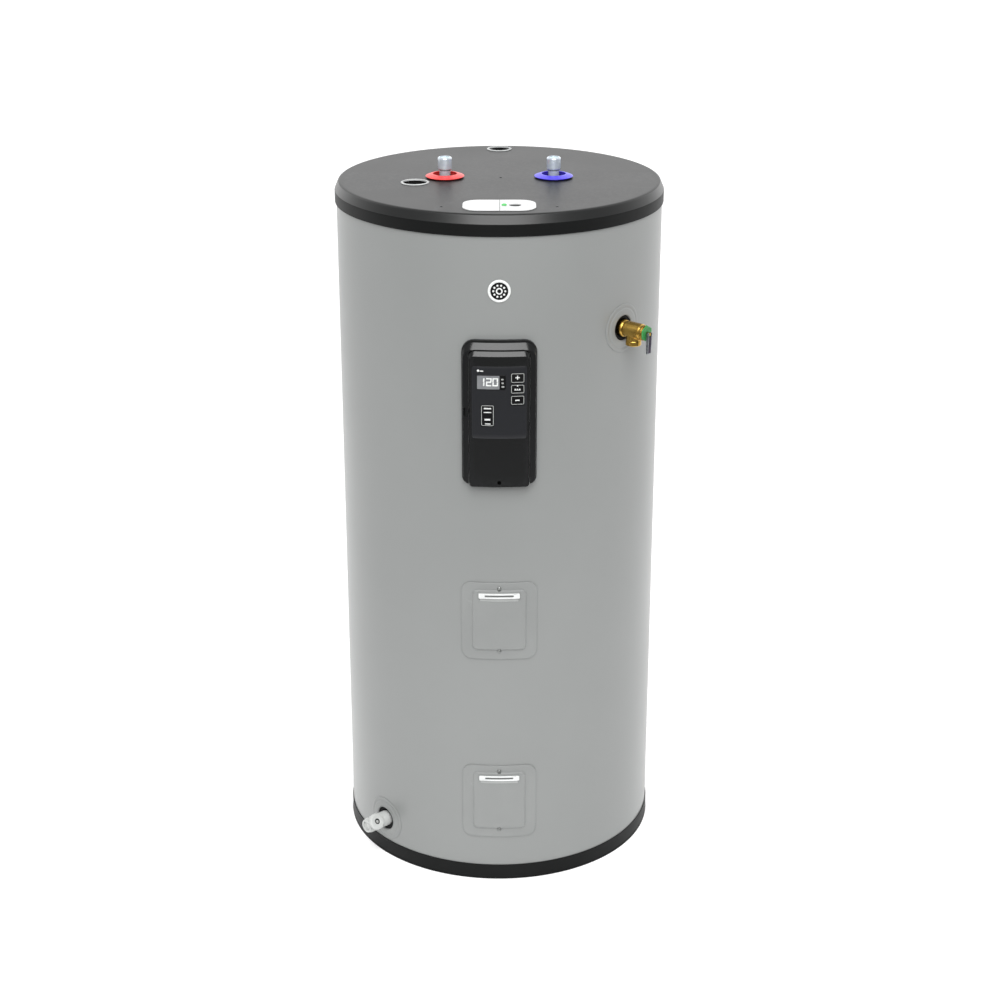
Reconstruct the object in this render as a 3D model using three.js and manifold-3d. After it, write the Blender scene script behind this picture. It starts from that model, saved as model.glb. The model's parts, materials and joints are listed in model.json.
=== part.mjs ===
import * as THREE from 'three';
import { mergeVertices } from 'three/addons/utils/BufferGeometryUtils.js';
import Module from 'manifold-3d';

const wasm = await Module();
wasm.setup();

// driving dimensions, millimetres
const jacketR = 304.8;
const sheet = 1;
const tankR = 254;
const tankWall = 2.5;
const topZ = 1327.5;
const shoulderZ = 1310;
const skirtZ = 1288.8;
const flatTopR = 294;
const capR = 307.9;
const capWall = 2;
const panRim = 31.3;
const gap = 0.4;
const skin = jacketR + gap;
const facets = 72;
const tankFacets = 24;
const pipeR = 13.35;
const boreR = 13.65;
const nippleX = 101.6;
const anodeXY = [-156, -46];
const rearXY = [0, 263];
const boxY = -236;
const portHoleR = 23.3;
const relief = { angle: 47.5, z: 1095.8 };
const drain = { angle: -48.1, z: 77.1 };
const panel = { half: 67.7, low: 833, high: 1103.5, coverHalf: 54.4, coverLow: 826, coverHigh: 1085.5 };
const panelFace = 321.6;
const covers = { middle: 555.4, lower: 172.6 };
const elements = { upper: 880, middle: 530, lower: 150 };
const sensors = { high_limit_switch: 945, middle_temperature_sensor: 583, lower_temperature_sensor: 205 };
const keys = {
  plus_button: [20.8, 1026.2, 44.7, 1045.6],
  enter_button: [20.8, 1006.3, 44.7, 1024.2],
  minus_button: [20.8, 985.3, 44.7, 1003.7],
  mode_button: [-32.6, 945.4, -9.7, 986],
};
const display = [-40.2, 1014.9, 11.1, 1041.8];

const group = new THREE.Group();
const inv = 180 / Math.PI;

// solids
function solid(geometry) {
  const g = geometry.index ? geometry.toNonIndexed() : geometry.clone();
  g.deleteAttribute('normal');
  g.deleteAttribute('uv');
  const m = mergeVertices(g, 1e-4);
  return new wasm.Manifold(new wasm.Mesh({
    numProp: 3,
    vertProperties: new Float32Array(m.attributes.position.array),
    triVerts: new Uint32Array(m.index.array),
  }));
}

function add(name, color, body, finish = {}) {
  const mesh = body.getMesh();
  const g = new THREE.BufferGeometry();
  g.setAttribute('position', new THREE.BufferAttribute(new Float32Array(mesh.vertProperties), 3));
  g.setIndex(new THREE.BufferAttribute(new Uint32Array(mesh.triVerts), 1));
  g.computeVertexNormals();
  const look = new THREE.MeshStandardMaterial({ color, roughness: 0.5, metalness: 0, ...finish });
  const m = new THREE.Mesh(g, look);
  m.name = name;
  group.add(m);
}

// turned body about Z from [radius, height] pairs; a profile off the axis closes on itself
function turned(profile, segments = 20) {
  const onAxis = profile[0][0] === 0 && profile.at(-1)[0] === 0;
  const loop = onAxis ? profile : [...profile, profile[0]];
  const g = new THREE.LatheGeometry(loop.map(([r, z]) => new THREE.Vector2(r, z)), segments);
  g.rotateX(Math.PI / 2);
  const body = solid(g);
  return body.volume() < 0 ? solid(flip(g)) : body;
}

function flip(g) {
  const f = g.index ? g.toNonIndexed() : g.clone();
  const p = f.attributes.position.array;
  for (let i = 0; i < p.length; i += 9) {
    for (let k = 0; k < 3; k += 1) [p[i + 3 + k], p[i + 6 + k]] = [p[i + 6 + k], p[i + 3 + k]];
  }
  return f;
}

const disc = (r, low, high, segments = 20) => turned([[0, low], [r, low], [r, high], [0, high]], segments);
const ring = (inner, outer, low, high, segments = 20) =>
  turned([[inner, low], [outer, low], [outer, high], [inner, high]], segments);
const shellBand = (inner, outer, low = 0, high = topZ) => ring(inner, outer, low, high, facets);

function roundedShape(x0, y0, x1, y1, r, rTop = r) {
  const s = new THREE.Shape();
  s.moveTo(x0 + r, y0);
  s.lineTo(x1 - r, y0).absarc(x1 - r, y0 + r, r, -Math.PI / 2, 0, false);
  s.lineTo(x1, y1 - rTop).absarc(x1 - rTop, y1 - rTop, rTop, 0, Math.PI / 2, false);
  s.lineTo(x0 + rTop, y1).absarc(x0 + rTop, y1 - rTop, rTop, Math.PI / 2, Math.PI, false);
  s.lineTo(x0, y0 + r).absarc(x0 + r, y0 + r, r, Math.PI, Math.PI * 1.5, false);
  return s;
}

const extruded = (shape, depth, steps = 2) =>
  new THREE.ExtrudeGeometry(shape, { depth, bevelEnabled: false, curveSegments: steps });

// block whose outline is drawn in X and Z and which runs from the tank axis out through the front
const frontBlock = (x0, z0, x1, z1, r = 0.5, rTop = r, from = 230) =>
  solid(extruded(roundedShape(x0, z0, x1, z1, r, rTop), 340 - from)).rotate([90, 0, 0]).translate([0, -from, 0]);

// block whose outline is drawn in X and Y and which stands on z0
const upBlock = (x0, y0, x1, y1, z0, z1, r = 0.5, steps = 2) =>
  solid(extruded(roundedShape(x0, y0, x1, y1, r), z1 - z0, steps)).translate([0, 0, z0]);

// piece drawn along the front radius (Z outwards, Y up, X sideways) moved to an angle and height
function onRadius(body, angle, z) {
  return body.rotate([90, 0, 0]).rotate([0, 0, angle]).translate([0, 0, z]);
}

const radial = (body, place) => onRadius(body, place.angle, place.z);
const curvedPlate = (outline, inner, outer) => outline.intersect(shellBand(inner, outer));

// dished head: rim flange down, crown up
function dishedHead(r, flangeZ, rimZ, rise, wall) {
  const arc = (radius, lift) => Array.from({ length: 5 }, (_, i) => {
    const t = i / 4;
    return [radius * t, rimZ + lift + rise * (1 - t * t)];
  });
  const outer = arc(r, 0);
  const inner = arc(r - wall, -wall).reverse();
  return turned([...outer, [r, flangeZ], [r - wall, flangeZ], ...inner], tankFacets);
}

const topRim = 1225;
const topRise = 60;
const headZ = (d) => topRim + topRise * (1 - (d / 251) ** 2);

// screw drawn on Z with its head up at headTop; returns the body and its clearance hole
function screw(headR, shaftR, tip, headTop, headHeight) {
  const head = headTop - headHeight;
  return turned([[0, tip], [shaftR * 0.5, tip], [shaftR, tip + 3], [shaftR, head], [headR, head],
    [headR, headTop - headHeight * 0.5], [headR * 0.7, headTop], [0, headTop]], 10);
}

// tank, foot and insulation
const shellTop = topRim;
const shellLow = 30.6;
const spudPlaces = [relief, drain];
let shell = ring(tankR - tankWall, tankR, shellLow, shellTop, tankFacets);
for (const place of spudPlaces) shell = shell.add(radial(ring(boreR, 19, 252, 262, 12), place));
for (const z of Object.values(elements)) shell = shell.add(radial(ring(16.1, 24, 252, 258, 12), { angle: 0, z }));
for (const place of spudPlaces) shell = shell.subtract(radial(disc(boreR + 0.4, 240, 270, 12), place));
for (const z of Object.values(elements)) shell = shell.subtract(radial(disc(16.4, 240, 270, 12), { angle: 0, z }));
add('tank_shell', 0x3d4650, shell, { metalness: 0.6 });

let topHead = dishedHead(tankR - tankWall - gap, 1205, topRim, topRise, 3);
const spuds = [[nippleX, 0], [-nippleX, 0], anodeXY];
for (const [x, y] of spuds) {
  const z = headZ(Math.hypot(x, y));
  topHead = topHead.add(disc(19, z - 6, z + 13, 12).translate([x, y, 0]));
}
for (const [x, y] of spuds) topHead = topHead.subtract(disc(boreR + 0.5, 1200, 1300, 12).translate([x, y, 0]));
add('tank_top_head', 0x3d4650, topHead, { metalness: 0.6 });
add('tank_bottom_head', 0x3d4650, dishedHead(tankR - tankWall - gap, 31, 50, 40, 3), { metalness: 0.6 });

add('base_pan', 0x1d1f1f, turned([[0, 0], [jacketR + 2.4, 0], [jacketR + 2.4, 3], [jacketR + 1.6, 4.5],
  [jacketR + 1.6, panRim], [skin, panRim], [skin, 2], [0, 2]], facets));
add('base_pad', 0xd8d2c0, disc(jacketR - sheet - gap, 2.4, 30.2, facets / 2));

let jacket = shellBand(jacketR - sheet, jacketR, 2.4, shoulderZ - 1);
let foam = turned([[0, 30.6], [303.4, 30.6], [303.4, 1306], [290, 1325.1], [0, 1325.1]], facets / 2);
const tankRoom = Array.from({ length: 5 }, (_, i) => [(tankR + gap) * (1 - i / 4), topRim + 4
  + topRise * (1 - (1 - i / 4) ** 2)]);
foam = foam.subtract(turned([[0, 20], [tankR + gap, 20], ...tankRoom], tankFacets));
const frontOpenings = [
  ...Object.values(covers).map((z) => [-45, z - 52, 45, z + 52]),
  [-45, 850, 45, 1060],
];
for (const [x0, z0, x1, z1] of frontOpenings) {
  jacket = jacket.subtract(frontBlock(x0, z0, x1, z1, 8, 8));
  foam = foam.subtract(frontBlock(x0 + 2, z0 + 2, x1 - 2, z1 - 2, 8, 8));
}
const screwSpots = [
  ...Object.values(covers).flatMap((z) => [z + 67.1, z - 60.3]),
  837.9,
];
for (const z of screwSpots) {
  const hole = onRadius(disc(2.4, 285, 320, 8), 0, z);
  jacket = jacket.subtract(hole);
  foam = foam.subtract(hole);
}
for (const place of spudPlaces) {
  const hole = radial(disc(portHoleR, 240, 320, 16), place);
  jacket = jacket.subtract(hole);
  foam = foam.subtract(hole);
}
for (const [x, y] of spuds) foam = foam.subtract(disc(20, 1200, 1340, 12).translate([x, y, 0]));
foam = foam.subtract(upBlock(-53, boxY - 33, 53, boxY + 33, 1271, 1340, 9));
add('outer_jacket', 0xa3a5a4, jacket, { roughness: 0.45 });
add('foam_insulation', 0xe0d49a, foam, { roughness: 0.9 });

// top cap and what stands on it
const under = topZ - capWall;
const slopedShoulder = [[capR, shoulderZ - 1], [capR - 0.9, shoulderZ + 2], [flatTopR + 2.5, topZ - 1.2],
  [flatTopR - 1, topZ]];
const innerShoulder = [[flatTopR - 1, under], [skin, shoulderZ - 0.5]];
let cap = turned([[0, under], ...innerShoulder, [skin, skirtZ], [capR, skirtZ],
  ...slopedShoulder, [0, topZ]], facets);
for (const x of [nippleX, -nippleX]) cap = cap.subtract(disc(14.6, 1300, 1340, 16).translate([x, 0, 0]));
const portPlaces = { anode: [...anodeXY, 23], rear: [...rearXY, 21] };
for (const [x, y, r] of Object.values(portPlaces)) {
  cap = cap.subtract(disc(r, 1300, 1340).translate([x, y, 0]));
}
cap = cap.subtract(upBlock(-53, boxY - 33, 53, boxY + 33, 1300, 1340, 9));
for (const [x, y] of [[2.8, -3.6], [102, -243], [-102, -243]]) {
  cap = cap.subtract(disc(2.8, topZ - 1, topZ + 3, 8).translate([x, y, 0]));
}
add('top_cap', 0x2a2b2c, cap, { roughness: 0.55 });

for (const [name, x, color] of [['cold', nippleX, 0x3f6fd8], ['hot', -nippleX, 0xe04848]]) {
  const low = headZ(nippleX) - 4;
  const nipple = turned([[8.6, low], [pipeR - 1, low], [pipeR, low + 2], [pipeR, low + 18], [10.4, low + 20],
    [10.4, topZ + 16], [12.4, topZ + 17.5], [pipeR, topZ + 19], [pipeR, topZ + 36.4], [12.2, topZ + 38.4],
    [8.6, topZ + 38.4]], 20).translate([x, 0, 0]);
  add(`${name}_nipple`, 0xb9bec4, nipple, { metalness: 0.8, roughness: 0.3 });
  const z = topZ + gap;
  const collar = turned([[24.5, z], [32, z], [36.5, z + 2.6], [36.2, z + 3.2], [24, z + 7.4], [22.5, z + 7.4],
    [22.5, z + 5.6]], 24).translate([x, 0, 0]);
  add(`${name}_collar`, color, collar);
}
add('dip_tube', 0xe8e6dc, ring(6.6, 8.2, 190, 1300, 16).translate([nippleX, 0, 0]));

const anodeTop = headZ(Math.hypot(...anodeXY)) + 13.4;
const anode = disc(10.5, 300, anodeTop - 12, 20).add(disc(12.9, anodeTop - 12.4, anodeTop + 0.1, 20))
  .add(disc(16, anodeTop, anodeTop + 12, 6));
add('anode_rod', 0x9a9c98, anode.translate([...anodeXY, 0]), { metalness: 0.5 });

for (const [name, [x, y, r]] of Object.entries(portPlaces)) {
  const z = topZ + gap;
  const collar = turned([[r - 2.2, topZ - 1], [r - gap, topZ - 1], [r - gap, z], [r + 3.6, z], [r + 3.6, z + 1.2],
    [r + 2, z + 3], [r - 0.8, z + 3], [r - 2.2, z + 1.6]], 20);
  add(`${name}_port_ring`, 0x8f9394, collar.translate([x, y, 0]));
  const plug = turned([[0, topZ - 1.6], [r - 2.8, topZ - 1.6], [r - 2.8, topZ + 0.4], [r - 5, topZ + 0.4],
    [r - 6, topZ - 0.6], [0, topZ - 0.6]], 20);
  add(`${name}_port_plug`, 0x151616, plug.translate([x, y, 0]));
}

// the box is folded sheet: a floor with a wire hole and four flat walls
const boxLow = 1272;
const outerBox = upBlock(-50, boxY - 30, 50, boxY + 30, boxLow, topZ);
const boxRoom = upBlock(-48.8, boxY - 28.8, 48.8, boxY + 28.8, boxLow + 1.2, topZ + 5, 0.1, 1);
const boxHole = disc(11, boxLow - 5, boxLow + 5, 12).translate([-30, boxY, 0]);
add('junction_box', 0xa9adb0, outerBox.subtract(boxRoom).subtract(boxHole), { metalness: 0.7 });
const plateZ = topZ + gap;
const plate = upBlock(-65, boxY - 40, 65, boxY + 40, plateZ, plateZ + 2, 27, 5);
const leftHalf = upBlock(-80, boxY - 60, 0.6, boxY + 60, plateZ - 1, plateZ + 4);
const rightHalf = upBlock(1.2, boxY - 60, 80, boxY + 60, plateZ - 1, plateZ + 4);
const groundXY = [8.6, -241];
const conduitXY = [27.9, -238.7];
add('junction_cover', 0xdfe1e1, plate.intersect(leftHalf), { metalness: 0.3 });
add('conduit_plate', 0xdfe1e1, plate.intersect(rightHalf)
  .subtract(disc(11.1, 1300, 1340, 20).translate([...conduitXY, 0]))
  .subtract(disc(2.3, 1300, 1340, 12).translate([...groundXY, 0])), { metalness: 0.3 });
add('ground_screw', 0x2f8a4c, screw(4.2, 1.9, 1312, plateZ + 4.8, 2.4).translate([...groundXY, 0]));

// generic round badge
add('round_badge', 0xf4f4f4, curvedPlate(onRadius(disc(20.4, 230, 340, 28), 0, 1191.6), skin, skin + 1.6));

// control panel: bezel open at the foot, cover standing proud of it
const bezelLayers = [[0, skin, 313], [1.6, 312.5, 315], [3.6, 314.5, 316.5]];
let bezel = null;
for (const [inset, inner, outer] of bezelLayers) {
  const outline = frontBlock(-panel.half + inset, panel.low + inset * 0.5, panel.half - inset,
    panel.high - inset, 18, 24, 280);
  const layer = curvedPlate(outline, inner, outer);
  bezel = bezel ? bezel.add(layer) : layer;
}
bezel = bezel.subtract(frontBlock(-panel.coverHalf - 0.8, panel.low - 20, panel.coverHalf + 0.8,
  panel.coverHigh + 0.8, 2, 14, 280));
bezel = bezel.subtract(frontBlock(-panel.half - 2, 964, -panel.half + 2.4, 974, 0.8, 0.8, 280));
add('control_bezel', 0x202223, bezel);

const coverLayers = [[0, 305.9, 318.6], [1.4, 318, 320.2], [3.2, 319.8, panelFace]];
let cover = null;
for (const [inset, inner, outer] of coverLayers) {
  const outline = frontBlock(-panel.coverHalf + inset, panel.coverLow + inset, panel.coverHalf - inset,
    panel.coverHigh - inset, 6, 13, 280);
  const layer = curvedPlate(outline, inner, outer);
  cover = cover ? cover.add(layer) : layer;
}
cover = cover.subtract(curvedPlate(frontBlock(-50, 850, 50, 1078, 4, 8, 280), 300, 317.8));
for (const [x0, z0, x1, z1] of [...Object.values(keys), display]) {
  cover = cover.subtract(frontBlock(x0 - 0.4, z0 - 0.4, x1 + 0.4, z1 + 0.4, 3, 3, 280));
}
cover = cover.subtract(onRadius(disc(3.7, 318.4, 340, 16).add(disc(2.3, 290, 330, 12)), 0, 837.9));
add('control_cover', 0x232526, cover);
add('control_cover_screw', 0x101010, onRadius(screw(3.3, 1.8, 292, 320.6, 1.9), 0, 837.9));

let overlay = curvedPlate(frontBlock(-51.1, 922.8, 51.1, 1058, 4, 4, 280), panelFace + 0.3, panelFace + 0.8);
for (const [x0, z0, x1, z1] of [...Object.values(keys), display]) {
  overlay = overlay.subtract(frontBlock(x0 - 0.4, z0 - 0.4, x1 + 0.4, z1 + 0.4, 3, 3, 280));
}
add('keypad_overlay', 0x32343a, overlay);
add('display_window', 0x77797c, curvedPlate(frontBlock(...display, 2.4, 2.4, 280), 318.4, panelFace + 0.8));
add('control_board', 0x1f5a3a, curvedPlate(frontBlock(-44, 930, 44, 1062, 3, 3, 280), 309, 310.6));
for (const [name, [x0, z0, x1, z1]] of Object.entries(keys)) {
  add(name, 0x0a0a0b, curvedPlate(frontBlock(x0, z0, x1, z1, 2.8, 2.8, 280), 312.4, panelFace + 1.2));
}

// access covers
for (const [name, z] of Object.entries(covers)) {
  const base = curvedPlate(frontBlock(-71, z - 78.3, 71, z + 78.3, 19, 19, 280), skin, skin + 1.6);
  const step = curvedPlate(frontBlock(-69, z - 76.3, 69, z + 76.3, 17, 17, 280), skin + 1, skin + 2.8);
  const raised = curvedPlate(frontBlock(-51, z - 58.5, 51, z + 64.6, 9, 9, 280), skin + 2, skin + 6);
  const lip = curvedPlate(frontBlock(-39, z + 45, 39, z + 60.2, 4, 7, 280), skin + 5, skin + 9);
  const hollow = curvedPlate(frontBlock(-47, z - 54, 47, z + 60, 6, 6, 280), skin - 2, skin + 4.4);
  let body = base.add(step).add(raised).add(lip).subtract(hollow);
  const ends = { top: z + 67.1, bottom: z - 60.3 };
  for (const spot of Object.values(ends)) {
    body = body.subtract(onRadius(disc(5, skin + 2, 340, 12).add(disc(2.4, 290, 330, 8)), 0, spot));
  }
  add(`${name}_access_cover`, 0xa5a7a6, body);
  for (const [end, spot] of Object.entries(ends)) {
    const fixing = screw(4.2, 1.8, 292, skin + 5.6, 3);
    add(`${name}_cover_${end}_screw`, 0xb0b3b5, onRadius(fixing, 0, spot), { metalness: 0.7 });
  }
}

// heating elements with folded sheath, and the parts clamped to the tank wall beside them
const foldR = 8;
const foldZ = -56;
class Fold extends THREE.Curve {
  getPoint(t) {
    const a = t * Math.PI;
    return new THREE.Vector3(0, foldR * Math.cos(a), foldZ - foldR * Math.sin(a));
  }
}
const rod = new THREE.Shape();
rod.absarc(0, 0, 4, 0, Math.PI * 2);
const bendSteps = { steps: 8, curveSegments: 4, bevelEnabled: false, extrudePath: new Fold() };
let sheath = solid(new THREE.ExtrudeGeometry(rod, bendSteps));
for (const y of [foldR, -foldR]) sheath = sheath.add(disc(4, foldZ - 0.1, 243, 8).translate([0, y, 0]));
for (const [name, z] of Object.entries(elements)) {
  const plug = disc(15.7, 242, 258.6, 16).add(disc(21, 258.4, 267, 6)).add(disc(16, 266.8, 278, 12));
  const posts = [-8, 8].map((x) => disc(2.4, 277, 284, 6).translate([x, 0, 0]));
  add(`${name}_heating_element`, 0xb07a4a, onRadius(plug.add(posts[0]).add(posts[1]).add(sheath), 0, z),
    { metalness: 0.7 });
}
for (const [name, z] of Object.entries(sensors)) {
  const half = name === 'high_limit_switch' ? 19 : 11;
  const block = upBlock(-half, -half * 0.8, half, half * 0.8, 254.6, 266, 3);
  add(name, 0x2b2b30, onRadius(block, 0, z));
}

// relief valve, drawn along its axis: Z outwards, Y up
const outlet = 330;
const pivot = 365.5;
const capFace = pivot - 9;
const mouth = 27;
const downPipe = (r, from, to, segments = 20) =>
  disc(r, from, to, segments).rotate([90, 0, 0]).translate([0, 0, outlet]);
const reliefBody = turned([[8, 250], [pipeR - 0.1, 250], [pipeR - 0.1, 301], [15.6, 305], [16.4, 308], [15.6, 312],
  [15.2, 314], [15.2, capFace - 8], [14.2, capFace - 5], [14.2, capFace - 0.4], [3.3, capFace - 0.4],
  [3.3, capFace - 9], [11, capFace - 9], [11, 324],
  [8, 324]], 20)
  .add(downPipe(14.3, 0, mouth).subtract(disc(11.2, 300, capFace - 2, 20)))
  .subtract(downPipe(10.6, 6, mouth + 5, 16));
add('relief_valve_body', 0xb8923c, radial(reliefBody, relief), { metalness: 0.9, roughness: 0.3 });
add('relief_cap', 0x3f9a55, radial(turned([[3.6, capFace], [15.6, capFace], [15.8, capFace + 1], [15.8, capFace + 3.6],
  [14.6, capFace + 5], [3.6, capFace + 5]], 20), relief));
const bladeCut = [1, -1].map((s) => upBlock(s > 0 ? 2 : -9, -6, s > 0 ? 9 : -2, 6, pivot - 3.5, pivot + 5));
const pinHole = disc(1.5, -10, 10, 12).rotate([0, 90, 0]).translate([0, 0, pivot]);
const reliefStem = turned([[0, 325], [9.8, 325], [9.8, 328.5], [2.9, 330], [2.9, pivot + 2.3], [0, pivot + 2.3]], 14)
  .subtract(bladeCut[0]).subtract(bladeCut[1]).subtract(pinHole);
add('relief_stem', 0xc9a24a, radial(reliefStem, relief), { metalness: 0.9 });
const cheek = new THREE.Shape();
cheek.absarc(0, 0, 3.2, -Math.PI / 2, Math.PI / 2, false);
cheek.lineTo(-2, 3.2).lineTo(-36, 1.8).lineTo(-37, 1).lineTo(-37, -1.6).lineTo(-36, -2.4).lineTo(-2, -3.2);
const cheekBody = (from, to) => solid(extruded(cheek, to - from, 6)).translate([0, 0, from]);
const web = new THREE.Shape();
web.moveTo(-4.6, 1.6).lineTo(-36.6, 0.2).lineTo(-36.6, 1.4).lineTo(-4.6, 2.9);
const lever = cheekBody(-4.8, -3.4).add(cheekBody(3.4, 4.8))
  .add(solid(extruded(web, 8)).translate([0, 0, -4]))
  .subtract(disc(1.3, -9, 9, 12));
// the outline's X becomes up, its Y becomes outwards and its depth runs sideways
const hung = lever.transform([0, 1, 0, 0, 0, 0, 1, 0, 1, 0, 0, 0, 0, 0, pivot, 1]);
add('relief_lever', 0x8e9297, radial(hung, relief), { metalness: 0.8 });
add('relief_lever_pin', 0x9fa3a6, radial(disc(1.15, -5.6, 5.6, 12).rotate([0, 90, 0])
  .translate([0, 0, pivot]), relief), { metalness: 0.8 });
class Coil extends THREE.Curve {
  getPoint(t) {
    const a = t * Math.PI * 2 * 4;
    return new THREE.Vector3(7.2 * Math.cos(a), 7.2 * Math.sin(a), 330 + t * 15.6);
  }
}
const wire = new THREE.Shape();
wire.absarc(0, 0, 0.9, 0, Math.PI * 2);
const coil = { steps: 45, curveSegments: 2, bevelEnabled: false, extrudePath: new Coil() };
add('relief_spring', 0x8a8d90, radial(solid(new THREE.ExtrudeGeometry(wire, coil)), relief), { metalness: 0.8 });
add('relief_probe', 0xb98a55, radial(disc(4.5, 110, 320, 16), relief), { metalness: 0.7 });

// drain valve: tube along the radius, knob square to it
const knobAt = 341.8;
const knobLean = Math.atan2(0.8, 0.6) * inv;
const across = (body) => body.rotate([-90, 0, 0]).rotate([0, 0, -knobLean]).translate([0, 0, knobAt]);
const drainTube = turned([[0, 250], [pipeR - 0.1, 250], [pipeR - 0.1, 300], [15, 302], [15, 349], [12.4, 349.4],
  [12.4, 350.4], [13.4, 350.8], [13.4, 353.4], [12.6, 354.8], [0, 354.8]], 20);
const chamber = across(disc(9, -6.2, 13, 16));
const drainBody = drainTube.add(across(disc(11, 0, 16.4, 20))).subtract(chamber)
  .subtract(disc(5.5, 240, 337, 16)).subtract(disc(9.4, 345, 360, 16)).subtract(across(disc(3.4, 10, 20, 16)));
add('drain_valve_body', 0xe6e7e4, radial(drainBody, drain));
add('drain_plug', 0x2c2c2c, radial(across(turned([[0, -5.8], [8.5, -5.8], [8.5, 5.4], [3.4, 5.4], [3.4, 1],
  [0, 1]], 14)), drain));
add('drain_stem', 0xd8d9d6, radial(across(disc(3, 1.4, 22, 16)), drain));
const knob = turned([[3.3, 17], [14.5, 17], [16.3, 18.4], [16.3, 24.4], [15, 26], [5.6, 26], [5.2, 24.4],
  [3.3, 24.4]], 24);
add('drain_knob', 0xeeefec, radial(across(knob), drain));

// rings pressed round the side ports, and the dark foam packing inside them
for (const [name, place] of Object.entries({ relief, drain })) {
  const pressed = curvedPlate(radial(disc(45, 230, 340, 32), place), skin, skin + 1.2)
    .add(curvedPlate(radial(disc(34, 230, 340, 24), place), skin + 0.8, skin + 2.2))
    .subtract(radial(disc(portHoleR, 240, 330), place));
  add(`${name}_port_ring`, 0xa5a7a6, pressed);
  add(`${name}_port_gasket`, 0x161616, radial(ring(17, portHoleR - 0.7, 280, 303, 16), place));
}

export default group;
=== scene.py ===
import json
import bmesh
import bpy
import numpy as np
from math import atan2, pi, radians
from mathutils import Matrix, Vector


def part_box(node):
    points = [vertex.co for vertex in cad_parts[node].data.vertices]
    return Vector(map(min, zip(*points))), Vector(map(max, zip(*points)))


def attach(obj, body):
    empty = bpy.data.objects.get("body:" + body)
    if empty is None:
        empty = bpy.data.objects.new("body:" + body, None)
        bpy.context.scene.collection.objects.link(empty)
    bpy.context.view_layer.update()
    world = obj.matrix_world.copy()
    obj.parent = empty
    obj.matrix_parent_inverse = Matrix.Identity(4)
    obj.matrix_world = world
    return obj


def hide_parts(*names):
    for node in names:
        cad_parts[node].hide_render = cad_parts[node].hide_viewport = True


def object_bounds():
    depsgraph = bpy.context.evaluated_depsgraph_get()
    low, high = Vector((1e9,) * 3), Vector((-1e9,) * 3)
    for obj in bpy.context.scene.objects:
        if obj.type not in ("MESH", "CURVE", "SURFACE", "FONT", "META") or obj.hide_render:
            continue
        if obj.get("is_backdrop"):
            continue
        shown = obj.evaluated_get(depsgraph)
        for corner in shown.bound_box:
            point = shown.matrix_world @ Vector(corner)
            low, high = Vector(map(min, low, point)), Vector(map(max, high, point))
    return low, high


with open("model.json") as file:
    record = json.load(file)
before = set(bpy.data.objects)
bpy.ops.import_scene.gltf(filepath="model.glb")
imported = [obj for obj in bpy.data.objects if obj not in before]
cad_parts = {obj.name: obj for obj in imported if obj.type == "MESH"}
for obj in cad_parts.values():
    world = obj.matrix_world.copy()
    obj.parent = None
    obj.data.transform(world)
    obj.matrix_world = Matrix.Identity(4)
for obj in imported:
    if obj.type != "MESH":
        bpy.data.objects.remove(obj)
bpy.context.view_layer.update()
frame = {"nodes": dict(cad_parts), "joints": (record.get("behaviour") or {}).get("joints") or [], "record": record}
nodes = frame["nodes"]
record = frame["record"]
joints = {j["name"]: j for j in frame["joints"]}
mounts = {m["name"]: m for m in record["mounts"]}
bodyOf = {n: b for b, names in record["behaviour"]["bodies"].items() for n in names}
slotOf = {s["node"]: s["material_slot"] for s in record["subparts"]}
mm = 0.001


def boxOf(node):
    # lowest and highest corner of a CAD node, in millimetres
    lo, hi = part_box(node)
    return np.array(lo) / mm, np.array(hi) / mm


jacketLow, jacketHigh = boxOf("outer_jacket")
jacketR = jacketHigh[0]
capLow, capHigh = boxOf("top_cap")
topZ = capHigh[2]

# camera
view = {"back": 12.3026, "up": 7.0103, "pitch": 21.246, "lens": 72.84, "shift": 0.00073}
cameraData = bpy.data.cameras.new("camera")
cameraData.lens = view["lens"]
cameraData.sensor_width = 36
cameraData.shift_x = view["shift"]
cameraObject = bpy.data.objects.new("camera", cameraData)
cameraObject.location = (0, -view["back"] * jacketR * mm, view["up"] * jacketR * mm)
cameraObject.rotation_euler = (radians(90 - view["pitch"]), 0, 0)
bpy.context.scene.collection.objects.link(cameraObject)
bpy.context.scene.camera = cameraObject
bpy.context.scene.view_settings.view_transform = "Standard"
print("camera ready")


# surfaces

def tone(red, green, blue):
    # display value 0 to 255 to linear light: power law with the short straight toe
    c = np.array([red, green, blue]) / 255
    return tuple(np.where(c <= 0.04045, c / 12.92, ((c + 0.055) / 1.055) ** 2.4)) + (1.0,)


def gridFaces(rows, cols, wrapRows, wrapCols):
    # each cell joins a point with its next neighbours along both grid directions
    index = np.arange(rows * cols).reshape(rows, cols)
    right = np.roll(index, -1, 1)
    below = np.roll(index, -1, 0)
    corner = np.roll(below, -1, 1)
    cells = np.stack([index, right, corner, below], -1)
    cells = cells[: rows if wrapRows else rows - 1, : cols if wrapCols else cols - 1]
    return cells.reshape(-1, 4)


def makeMesh(name, grids):
    # grids: list of (points rows x cols x 3 in mm, wrapRows, wrapCols), welded into closed shells
    verts, faces, start = [], [], 0
    for points, wrapRows, wrapCols in grids:
        rows, cols = points.shape[:2]
        verts.append(points.reshape(-1, 3) * mm)
        faces.append(gridFaces(rows, cols, wrapRows, wrapCols) + start)
        start += rows * cols
    mesh = bpy.data.meshes.new(name)
    mesh.from_pydata(np.concatenate(verts), [], np.concatenate(faces))
    work = bmesh.new()
    work.from_mesh(mesh)
    bmesh.ops.remove_doubles(work, verts=work.verts, dist=1.5e-6)
    bmesh.ops.dissolve_degenerate(work, edges=work.edges, dist=1e-7)
    bmesh.ops.recalc_face_normals(work, faces=work.faces)
    work.to_mesh(mesh)
    work.free()
    mesh.shade_smooth()
    mesh.set_sharp_from_angle(angle=radians(32))
    return mesh


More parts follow.
